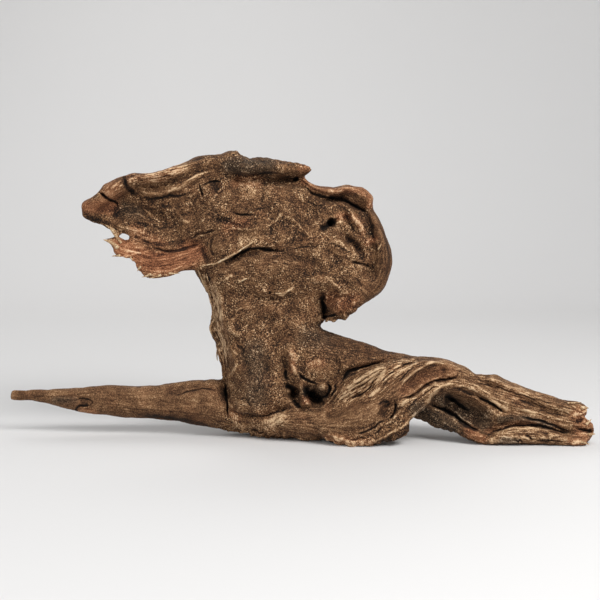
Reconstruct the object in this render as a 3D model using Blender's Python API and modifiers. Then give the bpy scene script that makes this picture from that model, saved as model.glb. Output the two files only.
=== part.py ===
# River driftwood: one weathered root that stands upright on its own lower edge.
#
# The broad face looks to -Y. A long thin root runs out to the left, a slab of a trunk rises
# from it, the head spreads into a torn shell on the left and a curled knob on the right, and
# a twisted limb runs down to the floor on the right.
#
# Places on the front are given as an eye in front of the wood sees them: u and v are
# millimetres to the right of the middle and up from the floor line, on a plane through the
# wood that stands square to the line of sight. Each place also has its own depth behind
# y = 0 and lies on the line of sight through it, so the outline of the front holds whatever
# the depth is. Places on the back are given straight from behind.

import bmesh
import bpy
import numpy as np
from mathutils import Vector, noise

MM = 0.001
EYE_DISTANCE = 1000.0  # mm in front of the wood
EYE_HEIGHT = 206.0  # mm above the floor
AIM_HEIGHT = 109.3  # mm above the floor, where the eye looks on the plane y = 0
AIM_V = 108.0  # the v of that place

DROP = EYE_HEIGHT - AIM_HEIGHT
SIGHT = float(np.hypot(EYE_DISTANCE, DROP))  # from the eye to the place it looks at

GRID = 1.5  # mm, the mesh that is carved
TRIANGLES = 11400  # of the finished solid
RING_POINTS = 56
RINGS_A_SPAN = 6
# Ridges along a limb: (how many round it, share of the twist, start, height).
GRAIN_WAVES = [(5, 1.6, 0, 0.5), (9, -1.0, 1, 0.35), (14, 2.0, 2, 0.25)]

LINE_POINTS = 5  # from one given point of a carved line to the next
LINE_EDGE = 1.5  # how softly a carved line meets the skin
LINE_FADE = 0.125  # the share of a line over which each end fades
LINE_END = 0.35  # the share of its height that is left at the very end
FACING = 3  # how fast carving grows as the skin turns to face it

LUMP_SIZE = 17.0  # mm, the uneven swell of weathered wood
LUMP_HEIGHT = 1.3
RIPPLE_SIZE = 6.0
RIPPLE_HEIGHT = 0.6
SMOOTHING = 4  # passes, where the limbs join

WOOD_COLOUR = (0.155, 0.087, 0.045)
WOOD_ROUGHNESS = 0.82

# Each limb is a row of sections. A section has its upper or left edge, its lower or right
# edge, its depth and its half thickness: (u, v, u, v, depth, half thickness).
ROOT = [
    (-231.3, 33.0, -231.3, 29.4, 6, 2.8),
    (-229.5, 35.2, -229.5, 28.6, 6, 3.6),
    (-222, 36.3, -222, 27.8, 6, 4.4),
    (-208, 37.2, -208, 26.6, 5, 5.4),
    (-195, 37.7, -195, 23.9, 4, 6.5),
    (-182, 37.9, -183, 20.4, 4, 8),
    (-170, 39.0, -171, 17.0, 4, 9.5),
    (-156, 39.7, -157, 15.9, 4, 10.5),
    (-140, 40.0, -140, 14.3, 4, 11.5),
    (-120, 39.4, -120, 13.3, 3, 12.5),
    (-100, 41.6, -100, 11.0, 2, 13.5),
    (-80, 44.0, -81, 7.3, 0, 15),
    (-62, 44.2, -62, 4.5, -3, 17),
    (-44, 40, -46, 1.7, -5, 19),
    (-29, 30, -31, -1.8, -8, 20),
    (-12, 26, -12, -2.0, -15, 19),
    (6, 24, 6, -4.9, -21, 18),
    (22, 26, 20, -2.0, -25, 17),
]
TRUNK = [
    (-56, 13, 8, 12, -5, 18),
    (-58.4, 19, 18, 17, -4, 26),
    (-59.4, 30, 30, 28, -3, 29),
    (-61.2, 44, 38, 44, -2, 30),
    (-65.2, 62, 40, 62, -2, 30),
    (-68.6, 75, 30, 76, -1, 30),
    (-72.2, 84, 16.5, 86, -1, 29),
    (-70.6, 91, 19.5, 90.6, 0, 29),
    (-69.8, 98, 27, 97, 0, 29),
    (-73.0, 113, 34, 112, 0, 28),
    (-81.0, 126, 44, 126, 0, 27),
    (-86, 137, 42, 142, 0, 24),
    (-84, 150, 40, 154, 0, 16),
]
HEAD = [
    (-70, 108, 46, 108, -5, 22),
    (-75, 118, 65.5, 117.5, -5, 28),
    (-80, 128, 71.3, 127.5, -6, 30),
    (-82, 141, 73.4, 141, -6, 31),
    (-84, 157, 70.6, 156, -6, 31),
    (-84, 173, 63.6, 171.5, -5, 30),
    (-84, 189, 56.4, 184, -3, 28),
    (-82, 202, 50, 192, -2, 25),
    (-78, 212, 16, 194, 0, 21),
    (-70, 220, -6, 206, 2, 16),
    (-60, 225, -22, 213, 3, 11),
    (-54, 226, -36, 218, 3, 6),
]
KNOB = [
    (17.6, 85.8, 26, 89.4, -20, 6),
    (20.4, 92.0, 33.5, 93.4, -20, 9),
    (22, 99, 41.5, 97.6, -19, 13),
    (22.5, 107, 52, 105, -16, 18),
    (24, 117, 63, 113, -12, 23),
    (26, 130, 70.4, 124, -8, 26),
]
KNOB_TOOTH = [
    (31, 100, 37, 100, -20, 5),
    (33, 95, 38.2, 95.4, -20, 3.6),
    (34.6, 91.6, 37.4, 92.2, -20, 2),
]
RIM = [
    (-6, 209, -4, 200, -10, 8),
    (3, 206, 3, 198, -11, 9),
    (8, 202.2, 7, 195.5, -13, 10),
    (14, 199.4, 12, 193, -15, 11),
    (24, 197.6, 23, 191.4, -16, 12),
    (34, 198.8, 34, 192.4, -16, 12),
    (43, 199.4, 41, 193.4, -15, 13),
    (51, 196.8, 47, 190, -13, 13),
    (57.4, 191.4, 51, 186, -11, 13),
    (58.4, 186.5, 51, 182, -10, 12),
    (58.6, 180, 51, 176, -10, 12),
]
RIGHT_ROLL = [
    (50, 182, 61, 176, -16, 12),
    (54, 172, 66, 166, -19, 13),
    (58, 158, 71.2, 152, -20, 14),
    (60, 143, 73.6, 139, -20, 15),
    (58, 129, 72, 126.5, -19, 14),
    (50, 119, 64, 114.4, -19, 13),
    (38, 112, 50, 105, -19, 11),
]
CROWN = [
    (-92, 218.4, -88, 208, -8, 13),
    (-80, 223.2, -77, 208, -9, 15),
    (-66, 224.8, -66, 206, -10, 17),
    (-53, 227.4, -54, 205, -12, 18),
    (-45, 221.4, -43, 205, -14, 18),
    (-34, 222.2, -33, 206, -15, 17),
    (-22, 220.4, -22, 206, -16, 16),
    (-9, 218.4, -11, 207, -16, 13),
    (1, 217.6, -1, 208, -16, 9),
    (7.6, 215.6, 2, 208.6, -16, 6.4),
    (11.8, 212.0, 6.4, 208.4, -16, 4.2),
]
LOBE = [
    (-175.6, 185, -174.6, 178, -23, 4.5),
    (-172, 188.5, -169.5, 172, -22, 8),
    (-162.5, 191.4, -157.5, 167.6, -20, 9),
    (-152, 198.6, -148.5, 162.4, -18, 10),
    (-141, 205.6, -137.5, 158, -16, 10),
    (-128, 206.6, -126, 153.5, -14, 11),
    (-112, 208, -112, 149, -13, 12),
    (-98, 214, -98, 147.5, -12, 14),
    (-84, 219.5, -86, 148, -9, 18),
    (-70, 221, -78, 141, -7, 23),
    (-50, 221, -62, 136, -5, 26),
]
LOBE_ROLL = [
    (-169.6, 187.4, -163.4, 180.6, -25, 7),
    (-158.4, 197.8, -151, 187, -28, 9),
    (-146, 206.0, -142, 193, -29, 10),
    (-133, 209.6, -131, 199, -27, 9),
    (-120, 209.0, -119, 200, -26, 9),
    (-108, 211.6, -106, 202, -25, 9),
    (-94, 218.2, -92, 206, -22, 10),
    (-80, 223.0, -78, 211, -19, 11),
    (-62, 225.0, -62, 212, -15, 13),
]
FLAP = [
    (-160.0, 157.6, -158.6, 155.4, -19, 1.8),
    (-151, 158.4, -152, 152.6, -19, 2.4),
    (-147.4, 158, -149.6, 146, -20, 2.8),
    (-141.4, 157, -146, 141.4, -21, 3.2),
    (-134, 158, -135.8, 140.4, -21, 3.4),
    (-127, 162, -128.6, 130.2, -21, 3.8),
    (-119, 162, -121.4, 125.2, -21, 4.0),
    (-106, 160, -108, 124.6, -21, 4.6),
    (-95, 158, -95.4, 130.4, -19, 5.2),
    (-84, 156, -86, 131.6, -17, 7),
    (-72, 150, -79, 128, -15, 10),
]
FLAP_TOOTH = [
    (-140, 147, -133, 147, -23, 3),
    (-137, 142, -131.6, 143, -24, 2.6),
    (-132.6, 139.4, -130, 141, -25, 2),
]
SPLINTER = [
    (-161, 172, -155, 167, -20, 4),
    (-155, 167.4, -151.0, 163.6, -20, 3.0),
    (-151.6, 163.8, -148.2, 161.0, -20, 2.4),
    (-149.6, 160.6, -146.2, 157, -20, 2.2),
    (-149.5, 157, -146.0, 153, -20, 2.2),
]
LIMB = [
    (8, 77, 16, 6, -6, 24),
    (21.8, 82.6, 24, 2, -7, 26),
    (44, 76.0, 42, 1, -9, 27),
    (60, 70.6, 60, 3, -11, 28),
    (79, 65.2, 78, 12, -13, 26),
    (95, 63.0, 92, 20, -15, 24),
    (110, 61.8, 106, 20, -16, 23),
    (121, 60.0, 118, 14, -18, 22),
    (129, 55.6, 127, 7, -19, 21),
    (140, 49.2, 136, 2, -21, 19),
    (156, 47.8, 150, -1, -23, 18),
    (172, 41.4, 168, -4, -25, 17),
    (190, 35.0, 188, -5, -27, 15),
    (210, 28.9, 208, -6, -28, 13.5),
    (218, 27.4, 218, 2, -28.5, 11.5),
    (226, 25.0, 224, 13, -29, 8),
    (231, 22.6, 228.6, 17.6, -29, 5),
]
SHELL = [
    (12, 12, 20, -2.0, -30, 14),
    (26, 15, 32, -7.8, -35, 13),
    (42, 21, 46, -12.0, -39, 12),
    (54, 28, 60, -9.0, -41, 11),
    (63, 36, 73, -5.8, -41, 10),
    (72, 44, 87.4, -0.2, -40, 10),
    (83, 52, 92.0, 13.0, -38, 10),
    (95, 58, 103, 25, -35, 10),
    (109, 60.5, 114, 36, -32, 10),
    (124, 56, 128, 39.5, -30, 9.5),
    (136, 50, 140, 33.5, -30, 9),
    (150, 46, 150, 27.5, -30, 9),
    (167, 41, 162, 19.5, -31, 9),
    (186, 34, 182, 13, -32, 9),
]
ARCH = [
    (90, 26, 90.5, 13.8, -10, 11),
    (103, 25, 101, 10.0, -15, 12),
    (116, 20, 113, 4.8, -20, 13),
    (129, 13, 126, 0.6, -26, 13),
    (141, 5, 138.5, -4.8, -31, 12),
    (151, 1, 149, -8.4, -35, 10),
]
LENS = [
    (146, -1, 146, -7.0, -32, 8),
    (156, 3, 156, -8.2, -33, 12),
    (170, 7, 170, -8.3, -34, 13),
    (188, 7.5, 188, -8.3, -34, 13),
    (205, 4, 205, -8.6, -35, 12),
    (220, 0, 220, -9.6, -38, 10),
    (229.5, -2, 230, -8.2, -38, 6),
]
TORN_END = [
    (214, 16, 214, -4, -29, 12),
    (226, 14, 226, -5.5, -30, 9),
    (233.2, 9.6, 232.0, -4.6, -31, 6),
    (236.6, 4.4, 235.4, -1.6, -31, 3.4),
]
HEEL = [
    (-58, 104, 8, 100, 12, 16),
    (-54, 70, 10, 70, 15, 17),
    (-47, 46, 8, 46, 21, 16),
    (-41, 26, 4, 26, 27, 14),
    (-40, 14, 0, 14, 31, 12),
    (-42, 5.0, 0, 5.0, 34, 10),
]
BACK_ROOT = [
    (-10, 84, -14, 40, 10, 16),
    (20, 74, 18, 30, 12, 16),
    (50, 62, 50, 18, 10, 15),
    (80, 53, 80, 16, 6, 13),
    (110, 45, 110, 16, 1, 11),
    (140, 35, 138, 10, -6, 10),
    (172, 24, 168, 3, -14, 8),
]
BACK_BURL = [
    (-26, 204, 26, 191, 6, 12),
    (-38, 188, 40, 178, 11, 17),
    (-44, 168, 48, 158, 14, 20),
    (-44, 146, 50, 134, 14, 20),
    (-42, 122, 40, 116, 11, 19),
    (-44, 98, 18, 96, 8, 19),
]
BACK_SPINE = [
    (-150, 190, -148, 178, -10, 6),
    (-124, 194, -122, 176, -4, 8),
    (-98, 200, -96, 174, 2, 10),
    (-72, 204, -68, 168, 8, 13),
    (-46, 196, -44, 150, 11, 15),
    (-36, 170, -22, 126, 12, 15),
]

# How each limb is made from its sections. Boxiness 2 gives an ellipse and more is squarer;
# lean is how much nearer the second edge stands than the first; grain is the height of the
# ridges that run along the limb, and twist how far they wind round it, in radians.
LIMBS = [
    {"sections": ROOT, "boxiness": 2.1, "lean": 0, "grain": 0.7, "twist": 2.5},
    {"sections": TRUNK, "boxiness": 3.0, "lean": 0, "grain": 1.3, "twist": 0.8},
    {"sections": HEAD, "boxiness": 2.5, "lean": 0, "grain": 1.2, "twist": 1.5},
    {"sections": KNOB, "boxiness": 2.2, "lean": 0, "grain": 0.8, "twist": 1.0},
    {"sections": KNOB_TOOTH, "boxiness": 2.0, "lean": 0, "grain": 0, "twist": 0},
    {"sections": RIM, "boxiness": 2.2, "lean": 0, "grain": 0.4, "twist": 1.0},
    {"sections": RIGHT_ROLL, "boxiness": 2.1, "lean": 0, "grain": 0.6, "twist": 2.0},
    {"sections": CROWN, "boxiness": 2.4, "lean": 0, "grain": 1.0, "twist": 1.0},
    {"sections": LOBE, "boxiness": 2.2, "lean": 0, "grain": 0.6, "twist": 1.0},
    {"sections": LOBE_ROLL, "boxiness": 2.1, "lean": 0, "grain": 0.7, "twist": 2.0},
    {"sections": FLAP, "boxiness": 2.0, "lean": 9, "grain": 0.3, "twist": 0.5},
    {"sections": FLAP_TOOTH, "boxiness": 2.0, "lean": 0, "grain": 0, "twist": 0},
    {"sections": SPLINTER, "boxiness": 2.0, "lean": 0, "grain": 0, "twist": 0},
    {"sections": LIMB, "boxiness": 2.4, "lean": 2, "grain": 1.3, "twist": 4.0},
    {"sections": SHELL, "boxiness": 2.0, "lean": 5, "grain": 0.9, "twist": 3.0},
    {"sections": ARCH, "boxiness": 2.1, "lean": 2, "grain": 0.7, "twist": 2.0},
    {"sections": LENS, "boxiness": 2.0, "lean": 4, "grain": 0.7, "twist": 1.5},
    {"sections": TORN_END, "boxiness": 2.0, "lean": 0, "grain": 0.8, "twist": 0},
    {"sections": HEEL, "boxiness": 2.2, "lean": 0, "grain": 1.6, "twist": 0.8},
    {"sections": BACK_ROOT, "boxiness": 2.0, "lean": 0, "grain": 1.6, "twist": 2.0},
    {"sections": BACK_BURL, "boxiness": 2.2, "lean": 0, "grain": 1.6, "twist": 2.0},
    {"sections": BACK_SPINE, "boxiness": 2.0, "lean": 0, "grain": 1.4, "twist": 1.5},
]

# Lines carved into the front, or raised on it: (half width, height, points). A height below
# zero is a groove, and a line of one point is a round bump or pit.
FRONT_LINES = [
    # The hollow of the shell, its rolled edge, and the stub at its tip.
    (22, -9.0, [(-152, 180), (-130, 177), (-106, 174), (-90, 172)]),
    (4.5, -3.5, [(-132, 203), (-118, 203), (-105, 204), (-96, 208)]),
    (3.4, 3.5, [(-131, 195), (-122, 192), (-110, 194), (-100, 199), (-90, 203), (-80, 208), (-71, 212)]),
    (9, 3.0, [(-164, 183)]),
    (2.4, -3.2, [(-160, 194), (-152, 188), (-147, 186)]),
    (2.2, -2.6, [(-138, 209), (-139, 203), (-140, 197)]),
    (5.5, -3.0, [(-70, 203), (-66, 196)]),
    # The seam between the shell's face and the torn flap under it.
    (3.0, -3.0, [(-125, 152), (-115, 149), (-104, 147), (-94, 150), (-83, 154), (-72, 162)]),
    (9, 3.0, [(-66, 151)]),
    (2.6, 3.2, [(-79, 135), (-66, 138), (-57, 143), (-48, 149), (-40, 153), (-33, 157)]),
    (3.2, -6.0, [(-62, 136), (-54, 140), (-45, 146), (-35, 146), (-28, 149), (-14, 147)]),
    # The crown and the cleft under it.
    (8, 3.5, [(-56, 216), (-40, 214), (-25, 215), (-8, 213)]),
    (3.6, -5.0, [(-60, 207), (-50, 205), (-35, 207), (-20, 207), (-4, 204.5)]),
    (3.6, -7.0, [(-3, 204), (3, 202)]),
    (10, 3.2, [(-41, 197)]),
    (3.0, -3.0, [(-60, 186), (-50, 176), (-37, 175)]),
    # The dished middle of the head, the eye, and the ridges round it.
    (15, -5.0, [(14, 184), (2, 176), (-8, 162)]),
    (4.0, -6.0, [(4, 198), (12, 191.5), (20, 188.5), (30, 189), (38, 190)]),
    (2.8, -8.0, [(22, 189.5), (33, 189), (40, 185), (48, 181), (54, 177.5)]),
    (5.0, 3.0, [(37, 192), (46, 190), (52, 186)]),
    (5.6, -13.0, [(21.5, 167), (27, 169.4)]),
    (4.6, 5.0, [(38, 183), (42, 177), (46, 170), (51, 162)]),
    (4.6, -6.0, [(33, 178), (36, 169), (34, 159), (41, 153), (47, 146)]),
    (4.0, -2.6, [(54, 180), (56, 168), (60, 156), (59, 142), (55, 130), (44, 120)]),
    (5.0, 3.4, [(50, 158), (55, 153)]),
    (2.6, -4.0, [(40, 138), (50, 137), (58, 132)]),
    (12, 3.0, [(42, 128)]),
    (5.0, -3.0, [(22, 150), (30, 140), (30, 130)]),
    (6.0, 3.0, [(4, 148), (16, 142), (24, 132)]),
    (5.0, -2.8, [(-34, 186), (-24, 178), (-22, 166), (-30, 160)]),
    (5.0, 3.0, [(-52, 168), (-38, 164), (-26, 168)]),
    (5.0, 2.8, [(-16, 196), (-10, 186), (-14, 176)]),
    (5.0, -2.6, [(-92, 192), (-84, 184), (-86, 172)]),
    (5.0, 2.8, [(-112, 184), (-98, 178), (-90, 166)]),
    (4.0, -2.6, [(-132, 184), (-118, 176), (-104, 166)]),
    (3.4, 3.2, [(10, 125), (20, 122), (30, 119), (38, 113)]),
    (4.2, 3.2, [(-12, 178), (0, 165), (9, 156)]),
    (4.2, -11.0, [(18.5, 109), (18, 103), (19, 97), (20, 92)]),
    (8, 3.2, [(31, 103)]),
    # The trunk: its chamfered left edge, its swirls, and the seam at its foot.
    (8, -9.0, [(-76, 120), (-72, 106), (-70, 90), (-66, 76), (-62, 60), (-58, 40), (-58, 22)]),
    (3.4, 2.6, [(-60, 96), (-57, 86), (-50, 79), (-44, 78)]),
    (3.4, 2.6, [(-58, 70), (-51, 62), (-51, 54), (-54, 48)]),
    (3.6, 2.6, [(-55, 100), (-46, 103), (-34, 101)]),
    (3.4, -2.6, [(-50, 92), (-44, 87), (-36, 88)]),
    (5.4, 3.2, [(-28, 115)]),
    (2.8, -3.0, [(-36, 110), (-26, 108), (-12, 111)]),
    (3.0, 2.4, [(-19, 113), (-10, 114), (-4, 118)]),
    (8, -2.6, [(-30, 60), (-26, 44)]),
    (6, 2.6, [(-44, 70), (-36, 58), (-40, 40), (-48, 28)]),
    (6, 2.6, [(-22, 84), (-16, 94), (-22, 104)]),
    (5, -2.6, [(-36, 92), (-24, 92), (-8, 98), (4, 96)]),
    (5, 2.4, [(-4, 90), (6, 80), (14, 74)]),
    (6, -2.4, [(-20, 72), (-10, 80), (0, 78)]),
    (2.6, -7.0, [(-59, 44), (-58.5, 30), (-58, 14)]),
    (2.8, -5.5, [(-58, 20), (-50, 16.5), (-40, 15.5), (-30, 14.5), (-21, 17), (-12, 20.5), (-4, 22)]),
    (7.5, 4.5, [(-15, 13)]),
    # The cavity, with the column, the disc and the small knobs round it.
    (4.6, 5.5, [(-9, 70), (-6, 58), (-3, 46)]),
    (3.4, -4.5, [(-14, 64), (-12, 52), (-12, 44)]),
    (11, 5.5, [(16, 51)]),
    (7.5, -19.0, [(-7, 37), (-2, 30)]),
    (8.0, -19.0, [(6, 35), (14, 29), (19, 29)]),
    (3.0, 7.0, [(1, 42), (1, 34), (3, 26)]),
    (4.2, 14.0, [(18, 38)]),
    (5.0, 8.0, [(6, 26)]),
    (3.2, -4.5, [(28, 62), (31, 52), (28, 42), (27, 34)]),
    (3.0, -4.5, [(0, 22), (12, 20), (23, 24), (31, 32)]),
    # The braid of strands that sweeps up over the limb.
    (3.2, -8.0, [(31, 40), (36, 48), (44, 52.5), (55, 55), (64, 57), (74, 59)]),
    (4.4, 5.0, [(31, 29), (41, 39), (50, 45), (58, 49.5), (66, 53.5), (76, 58), (88, 61)]),
    (2.2, -4.0, [(38, 28), (48, 32), (58, 38), (66, 47), (76, 54)]),
    (3.8, 3.6, [(45, 27), (54, 31), (63, 39), (72, 49), (84, 56), (96, 60)]),
    (2.2, -3.0, [(50, 24), (60, 30), (69, 40), (78, 49)]),
    (10, 3.6, [(20, 13), (38, 14), (54, 18)]),
    (6.0, -5.5, [(66, 13), (70, 20), (71, 26)]),
    (2.2, -4.5, [(75, 28), (76.5, 20), (72, 12), (66, 8)]),
    (3.2, 3.4, [(78, 22), (84, 30), (92, 36), (100, 41)]),
    (3.0, 3.0, [(78, 35), (85, 47), (97, 57), (106, 60)]),
    (8.0, -6.5, [(87, 36), (97, 44), (109, 50), (120, 52)]),
    (2.6, -6.5, [(82, 28), (90, 31), (100, 38.5), (108, 42.5), (119, 45), (126, 47.5)]),
    (3.4, 3.2, [(86, 20), (95, 28), (105, 36), (116, 41), (126, 42)]),
    (2.4, -3.0, [(30, 2), (42, -2), (56, -1), (68, 6), (78, 14)]),
    # The limb beyond the braid: its dark hollow, the crevices, and the lens at its foot.
    (12, -15.0, [(113, 26), (124, 24), (136, 19), (148, 12)]),
    (3.6, -6.0, [(115, 31), (121, 30), (127, 25), (133, 21)]),
    (2.8, -7.0, [(102, 27), (114, 20), (125, 14), (135, 8), (145, 3)]),
    (2.4, -5.0, [(138, 34), (148, 27.5), (156, 21.5), (164, 18)]),
    (3.0, 3.0, [(128, 42), (142, 38), (156, 30), (170, 24), (190, 19)]),
    (2.6, -3.5, [(140, 44), (158, 37), (178, 28), (200, 19), (218, 14)]),
    (3.4, 3.0, [(134, 50), (156, 43), (178, 34), (202, 25), (222, 20)]),
    (2.8, -6.0, [(148, -3), (154, 3), (163, 7.5), (176, 9), (190, 8), (205, 4), (221, 0)]),
    (2.4, -3.0, [(166, 14), (182, 15), (200, 11), (216, 6)]),
    (2.6, -4.5, [(219, 6), (228, 4.5), (236, 3.5)]),
    (2.4, -3.0, [(223.5, 11.5)]),
    # The thin root: the hooked knot and a few long flutes.
    (5.0, 2.0, [(-172, 24)]),
    (2.4, -3.0, [(-180, 29.5), (-172, 29), (-167, 25.5), (-170, 21.5), (-178, 20)]),
    (3.0, -1.6, [(-150, 30), (-120, 27), (-90, 26), (-66, 25)]),
    (3.0, 1.6, [(-150, 24), (-118, 20), (-88, 17), (-60, 16)]),
    (3.2, -1.8, [(-104, 35), (-88, 38), (-70, 37), (-62, 36)]),
]

# The same for the back, seen straight from behind but still with u to the right of the front.
BACK_LINES = [
    (16, -9.0, [(-150, 182), (-128, 180), (-104, 178), (-86, 180)]),
    (4.0, 4.0, [(-160, 172), (-136, 164), (-112, 160), (-90, 164), (-70, 178)]),
    (3.0, -4.0, [(-140, 196), (-118, 196), (-96, 202), (-74, 210)]),
    (4.0, -6.0, [(-66, 202), (-56, 186), (-58, 164), (-68, 146)]),
    (5.0, 5.0, [(-40, 214), (-20, 204), (4, 198), (30, 190)]),
    (4.0, -6.0, [(-34, 204), (-12, 196), (10, 190), (34, 180), (54, 168)]),
    (12, -9.0, [(4, 162), (12, 146)]),
    (4.0, 5.0, [(-24, 176), (-2, 182), (22, 176), (34, 158), (28, 138), (8, 126)]),
    (3.0, -4.5, [(-44, 168), (-34, 146), (-30, 124), (-38, 100), (-44, 76)]),
    (4.5, 4.5, [(-54, 140), (-48, 112), (-54, 86), (-50, 60)]),
    (3.5, -5.0, [(-18, 122), (-14, 98), (-20, 76), (-30, 52), (-34, 26)]),
    (5.0, 4.5, [(0, 116), (2, 94), (-6, 72), (-14, 46), (-18, 20)]),
    (9, -9.0, [(22, 96), (18, 78)]),
    (3.2, -4.5, [(18, 66), (44, 52), (74, 42), (104, 34), (134, 24), (164, 14)]),
    (4.0, 4.0, [(26, 74), (54, 62), (86, 52), (118, 44), (150, 32), (186, 18)]),
    (3.2, -3.5, [(60, 34), (90, 26), (122, 20), (150, 8)]),
    (3.4, 3.0, [(-190, 31), (-160, 30), (-124, 30), (-92, 30), (-62, 34)]),
    (2.8, -2.6, [(-170, 24), (-136, 22), (-100, 20), (-70, 16)]),
]


def seen_at(u, v, depth):
    """The point at this depth on the line of sight through (u, v)."""
    up = v - AIM_V
    reach = (EYE_DISTANCE + depth) / (EYE_DISTANCE + up * DROP / SIGHT)
    return (u * reach, depth, EYE_HEIGHT + reach * (up * EYE_DISTANCE / SIGHT - DROP))


def places_of(points):
    """The (u, v) of points in space, and the directions that the eye sees them in."""
    sight = points - np.array([0, -EYE_DISTANCE, EYE_HEIGHT])
    away = (sight[:, 1] * EYE_DISTANCE - sight[:, 2] * DROP) / SIGHT
    up = (sight[:, 1] * DROP + sight[:, 2] * EYE_DISTANCE) / SIGHT
    places = np.stack([sight[:, 0], up], axis=1) * SIGHT / away[:, None] + np.array([0, AIM_V])
    return places, sight / np.linalg.norm(sight, axis=1)[:, None]


def smooth_rows(rows, per_span):
    """Rows of numbers joined by a smooth curve through every row."""
    rows = np.array(rows, float)
    if len(rows) == 1:
        return rows
    ends = np.vstack([2 * rows[0] - rows[1], rows, 2 * rows[-1] - rows[-2]])
    made = []
    for before, start, stop, after in zip(ends, ends[1:], ends[2:], ends[3:]):
        for t in np.arange(per_span) / per_span:
            made.append(
                0.5 * (2 * start + (stop - before) * t
                       + (2 * before - 5 * start + 4 * stop - after) * t ** 2
                       + (3 * start - before - 3 * stop + after) * t ** 3)
            )
    made.append(rows[-1])
    return np.array(made)


def grain_ridges(angles, turned):
    """Uneven ridges round a section, from about -1 to 1."""
    return sum(
        height * np.sin(count * angles + share * turned + start)
        for count, share, start, height in GRAIN_WAVES
    )


def add_limb(bm, sections, boxiness, lean, grain, twist):
    """One closed limb: a loft through sections of changing shape."""
    angles = np.linspace(0, 2 * np.pi, RING_POINTS, endpoint=False)
    across = np.sign(np.cos(angles)) * np.abs(np.cos(angles)) ** (2 / boxiness)
    through = np.sign(np.sin(angles)) * np.abs(np.sin(angles)) ** (2 / boxiness)
    stations = smooth_rows(sections, RINGS_A_SPAN)
    rings = []
    for turned, (u1, v1, u2, v2, depth, thick) in zip(np.linspace(0, twist, len(stations)), stations):
        ridged = through * (thick + grain * grain_ridges(angles, turned))
        ring = []
        for a, b in zip(across, ridged):
            u = (u1 + u2) / 2 + a * (u1 - u2) / 2
            v = (v1 + v2) / 2 + a * (v1 - v2) / 2
            ring.append(bm.verts.new(Vector(seen_at(u, v, depth + b + a * lean / 2)) * MM))
        rings.append(ring)
    for ring, following in zip(rings, rings[1:]):
        for i in range(RING_POINTS):
            j = (i + 1) % RING_POINTS
            bm.faces.new((ring[i], ring[j], following[j], following[i]))
    bm.faces.new(rings[0][::-1])
    bm.faces.new(rings[-1])


def rough_limbs():
    """All the limbs in one mesh, still as separate overlapping bodies."""
    mesh = bpy.data.meshes.new("driftwood")
    bm = bmesh.new()
    for limb in LIMBS:
        part = bmesh.new()
        add_limb(part, **limb)
        bmesh.ops.recalc_face_normals(part, faces=part.faces)
        if part.calc_volume(signed=True) < 0:
            bmesh.ops.reverse_faces(part, faces=part.faces)
        piece = bpy.data.meshes.new("limb")
        part.to_mesh(piece)
        part.free()
        bm.from_mesh(piece)
        bpy.data.meshes.remove(piece)
    bm.to_mesh(mesh)
    bm.free()
    return mesh


def apply_modifiers(obj):
    graph = bpy.context.evaluated_depsgraph_get()
    graph.update()
    mesh = bpy.data.meshes.new_from_object(obj.evaluated_get(graph))
    obj.modifiers.clear()
    old = obj.data
    obj.data = mesh
    bpy.data.meshes.remove(old)
    mesh.name = obj.name


def fuse(obj):
    """One closed skin of even squares round everything."""
    remesh = obj.modifiers.new("Fuse", "REMESH")
    remesh.mode = "VOXEL"
    remesh.voxel_size = GRID * MM
    apply_modifiers(obj)


def smooth(obj, passes):
    soften = obj.modifiers.new("Soften", "SMOOTH")
    soften.factor = 0.5
    soften.iterations = passes
    apply_modifiers(obj)


def points_and_normals(mesh):
    points = np.empty(len(mesh.vertices) * 3)
    normals = np.empty(len(mesh.vertices) * 3)
    mesh.vertices.foreach_get("co", points)
    mesh.vertices.foreach_get("normal", normals)
    return points.reshape(-1, 3) / MM, normals.reshape(-1, 3)


def move_points(mesh, points):
    mesh.vertices.foreach_set("co", (points * MM).ravel())
    mesh.update()


def distance_along(places, line):
    """Distance of each place from the line, and how far along it the nearest point is, 0 to 1."""
    if len(line) == 1:
        return np.linalg.norm(places - line[0], axis=1), np.full(len(places), 0.5)
    lengths = np.linalg.norm(np.diff(line, axis=0), axis=1)
    passed = np.concatenate([[0], np.cumsum(lengths)])
    nearest = np.full(len(places), np.inf)
    along = np.zeros(len(places))
    for start, stop, length, before in zip(line, line[1:], lengths, passed):
        step = stop - start
        t = np.clip((places - start) @ step / (length * length), 0, 1)
        away = np.linalg.norm(places - start - t[:, None] * step, axis=1)
        closer = away < nearest
        nearest[closer] = away[closer]
        along[closer] = (before + t[closer] * length) / passed[-1]
    return nearest, along


def height_of_lines(places, lines):
    """What the raised and carved lines add up to at each place."""
    total = np.zeros(len(places))
    for width, height, points in lines:
        line = smooth_rows(points, LINE_POINTS)
        near = np.all((places > line.min(axis=0) - width) & (places < line.max(axis=0) + width), axis=1)
        if not near.any():
            continue
        away, along = distance_along(places[near], line)
        profile = np.clip(1 - (away / width) ** 2, 0, 1) ** LINE_EDGE
        if len(points) > 1:
            profile *= np.clip(np.minimum(along, 1 - along) / LINE_FADE, LINE_END, 1)
        total[near] += height * profile
    return total


def carve(obj):
    """Raises and carves the lines, towards the eye on the front and straight out on the back."""
    points, normals = points_and_normals(obj.data)
    places, sight = places_of(points)
    facing = np.clip(-np.sum(normals * sight, axis=1) * FACING, 0, 1)
    front = height_of_lines(places, FRONT_LINES) * facing
    behind = np.clip(normals[:, 1] * FACING, 0, 1)
    back = height_of_lines(points[:, [0, 2]], BACK_LINES) * behind
    move_points(obj.data, points - sight * front[:, None] + np.outer(back, (0, 1, 0)))


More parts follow.
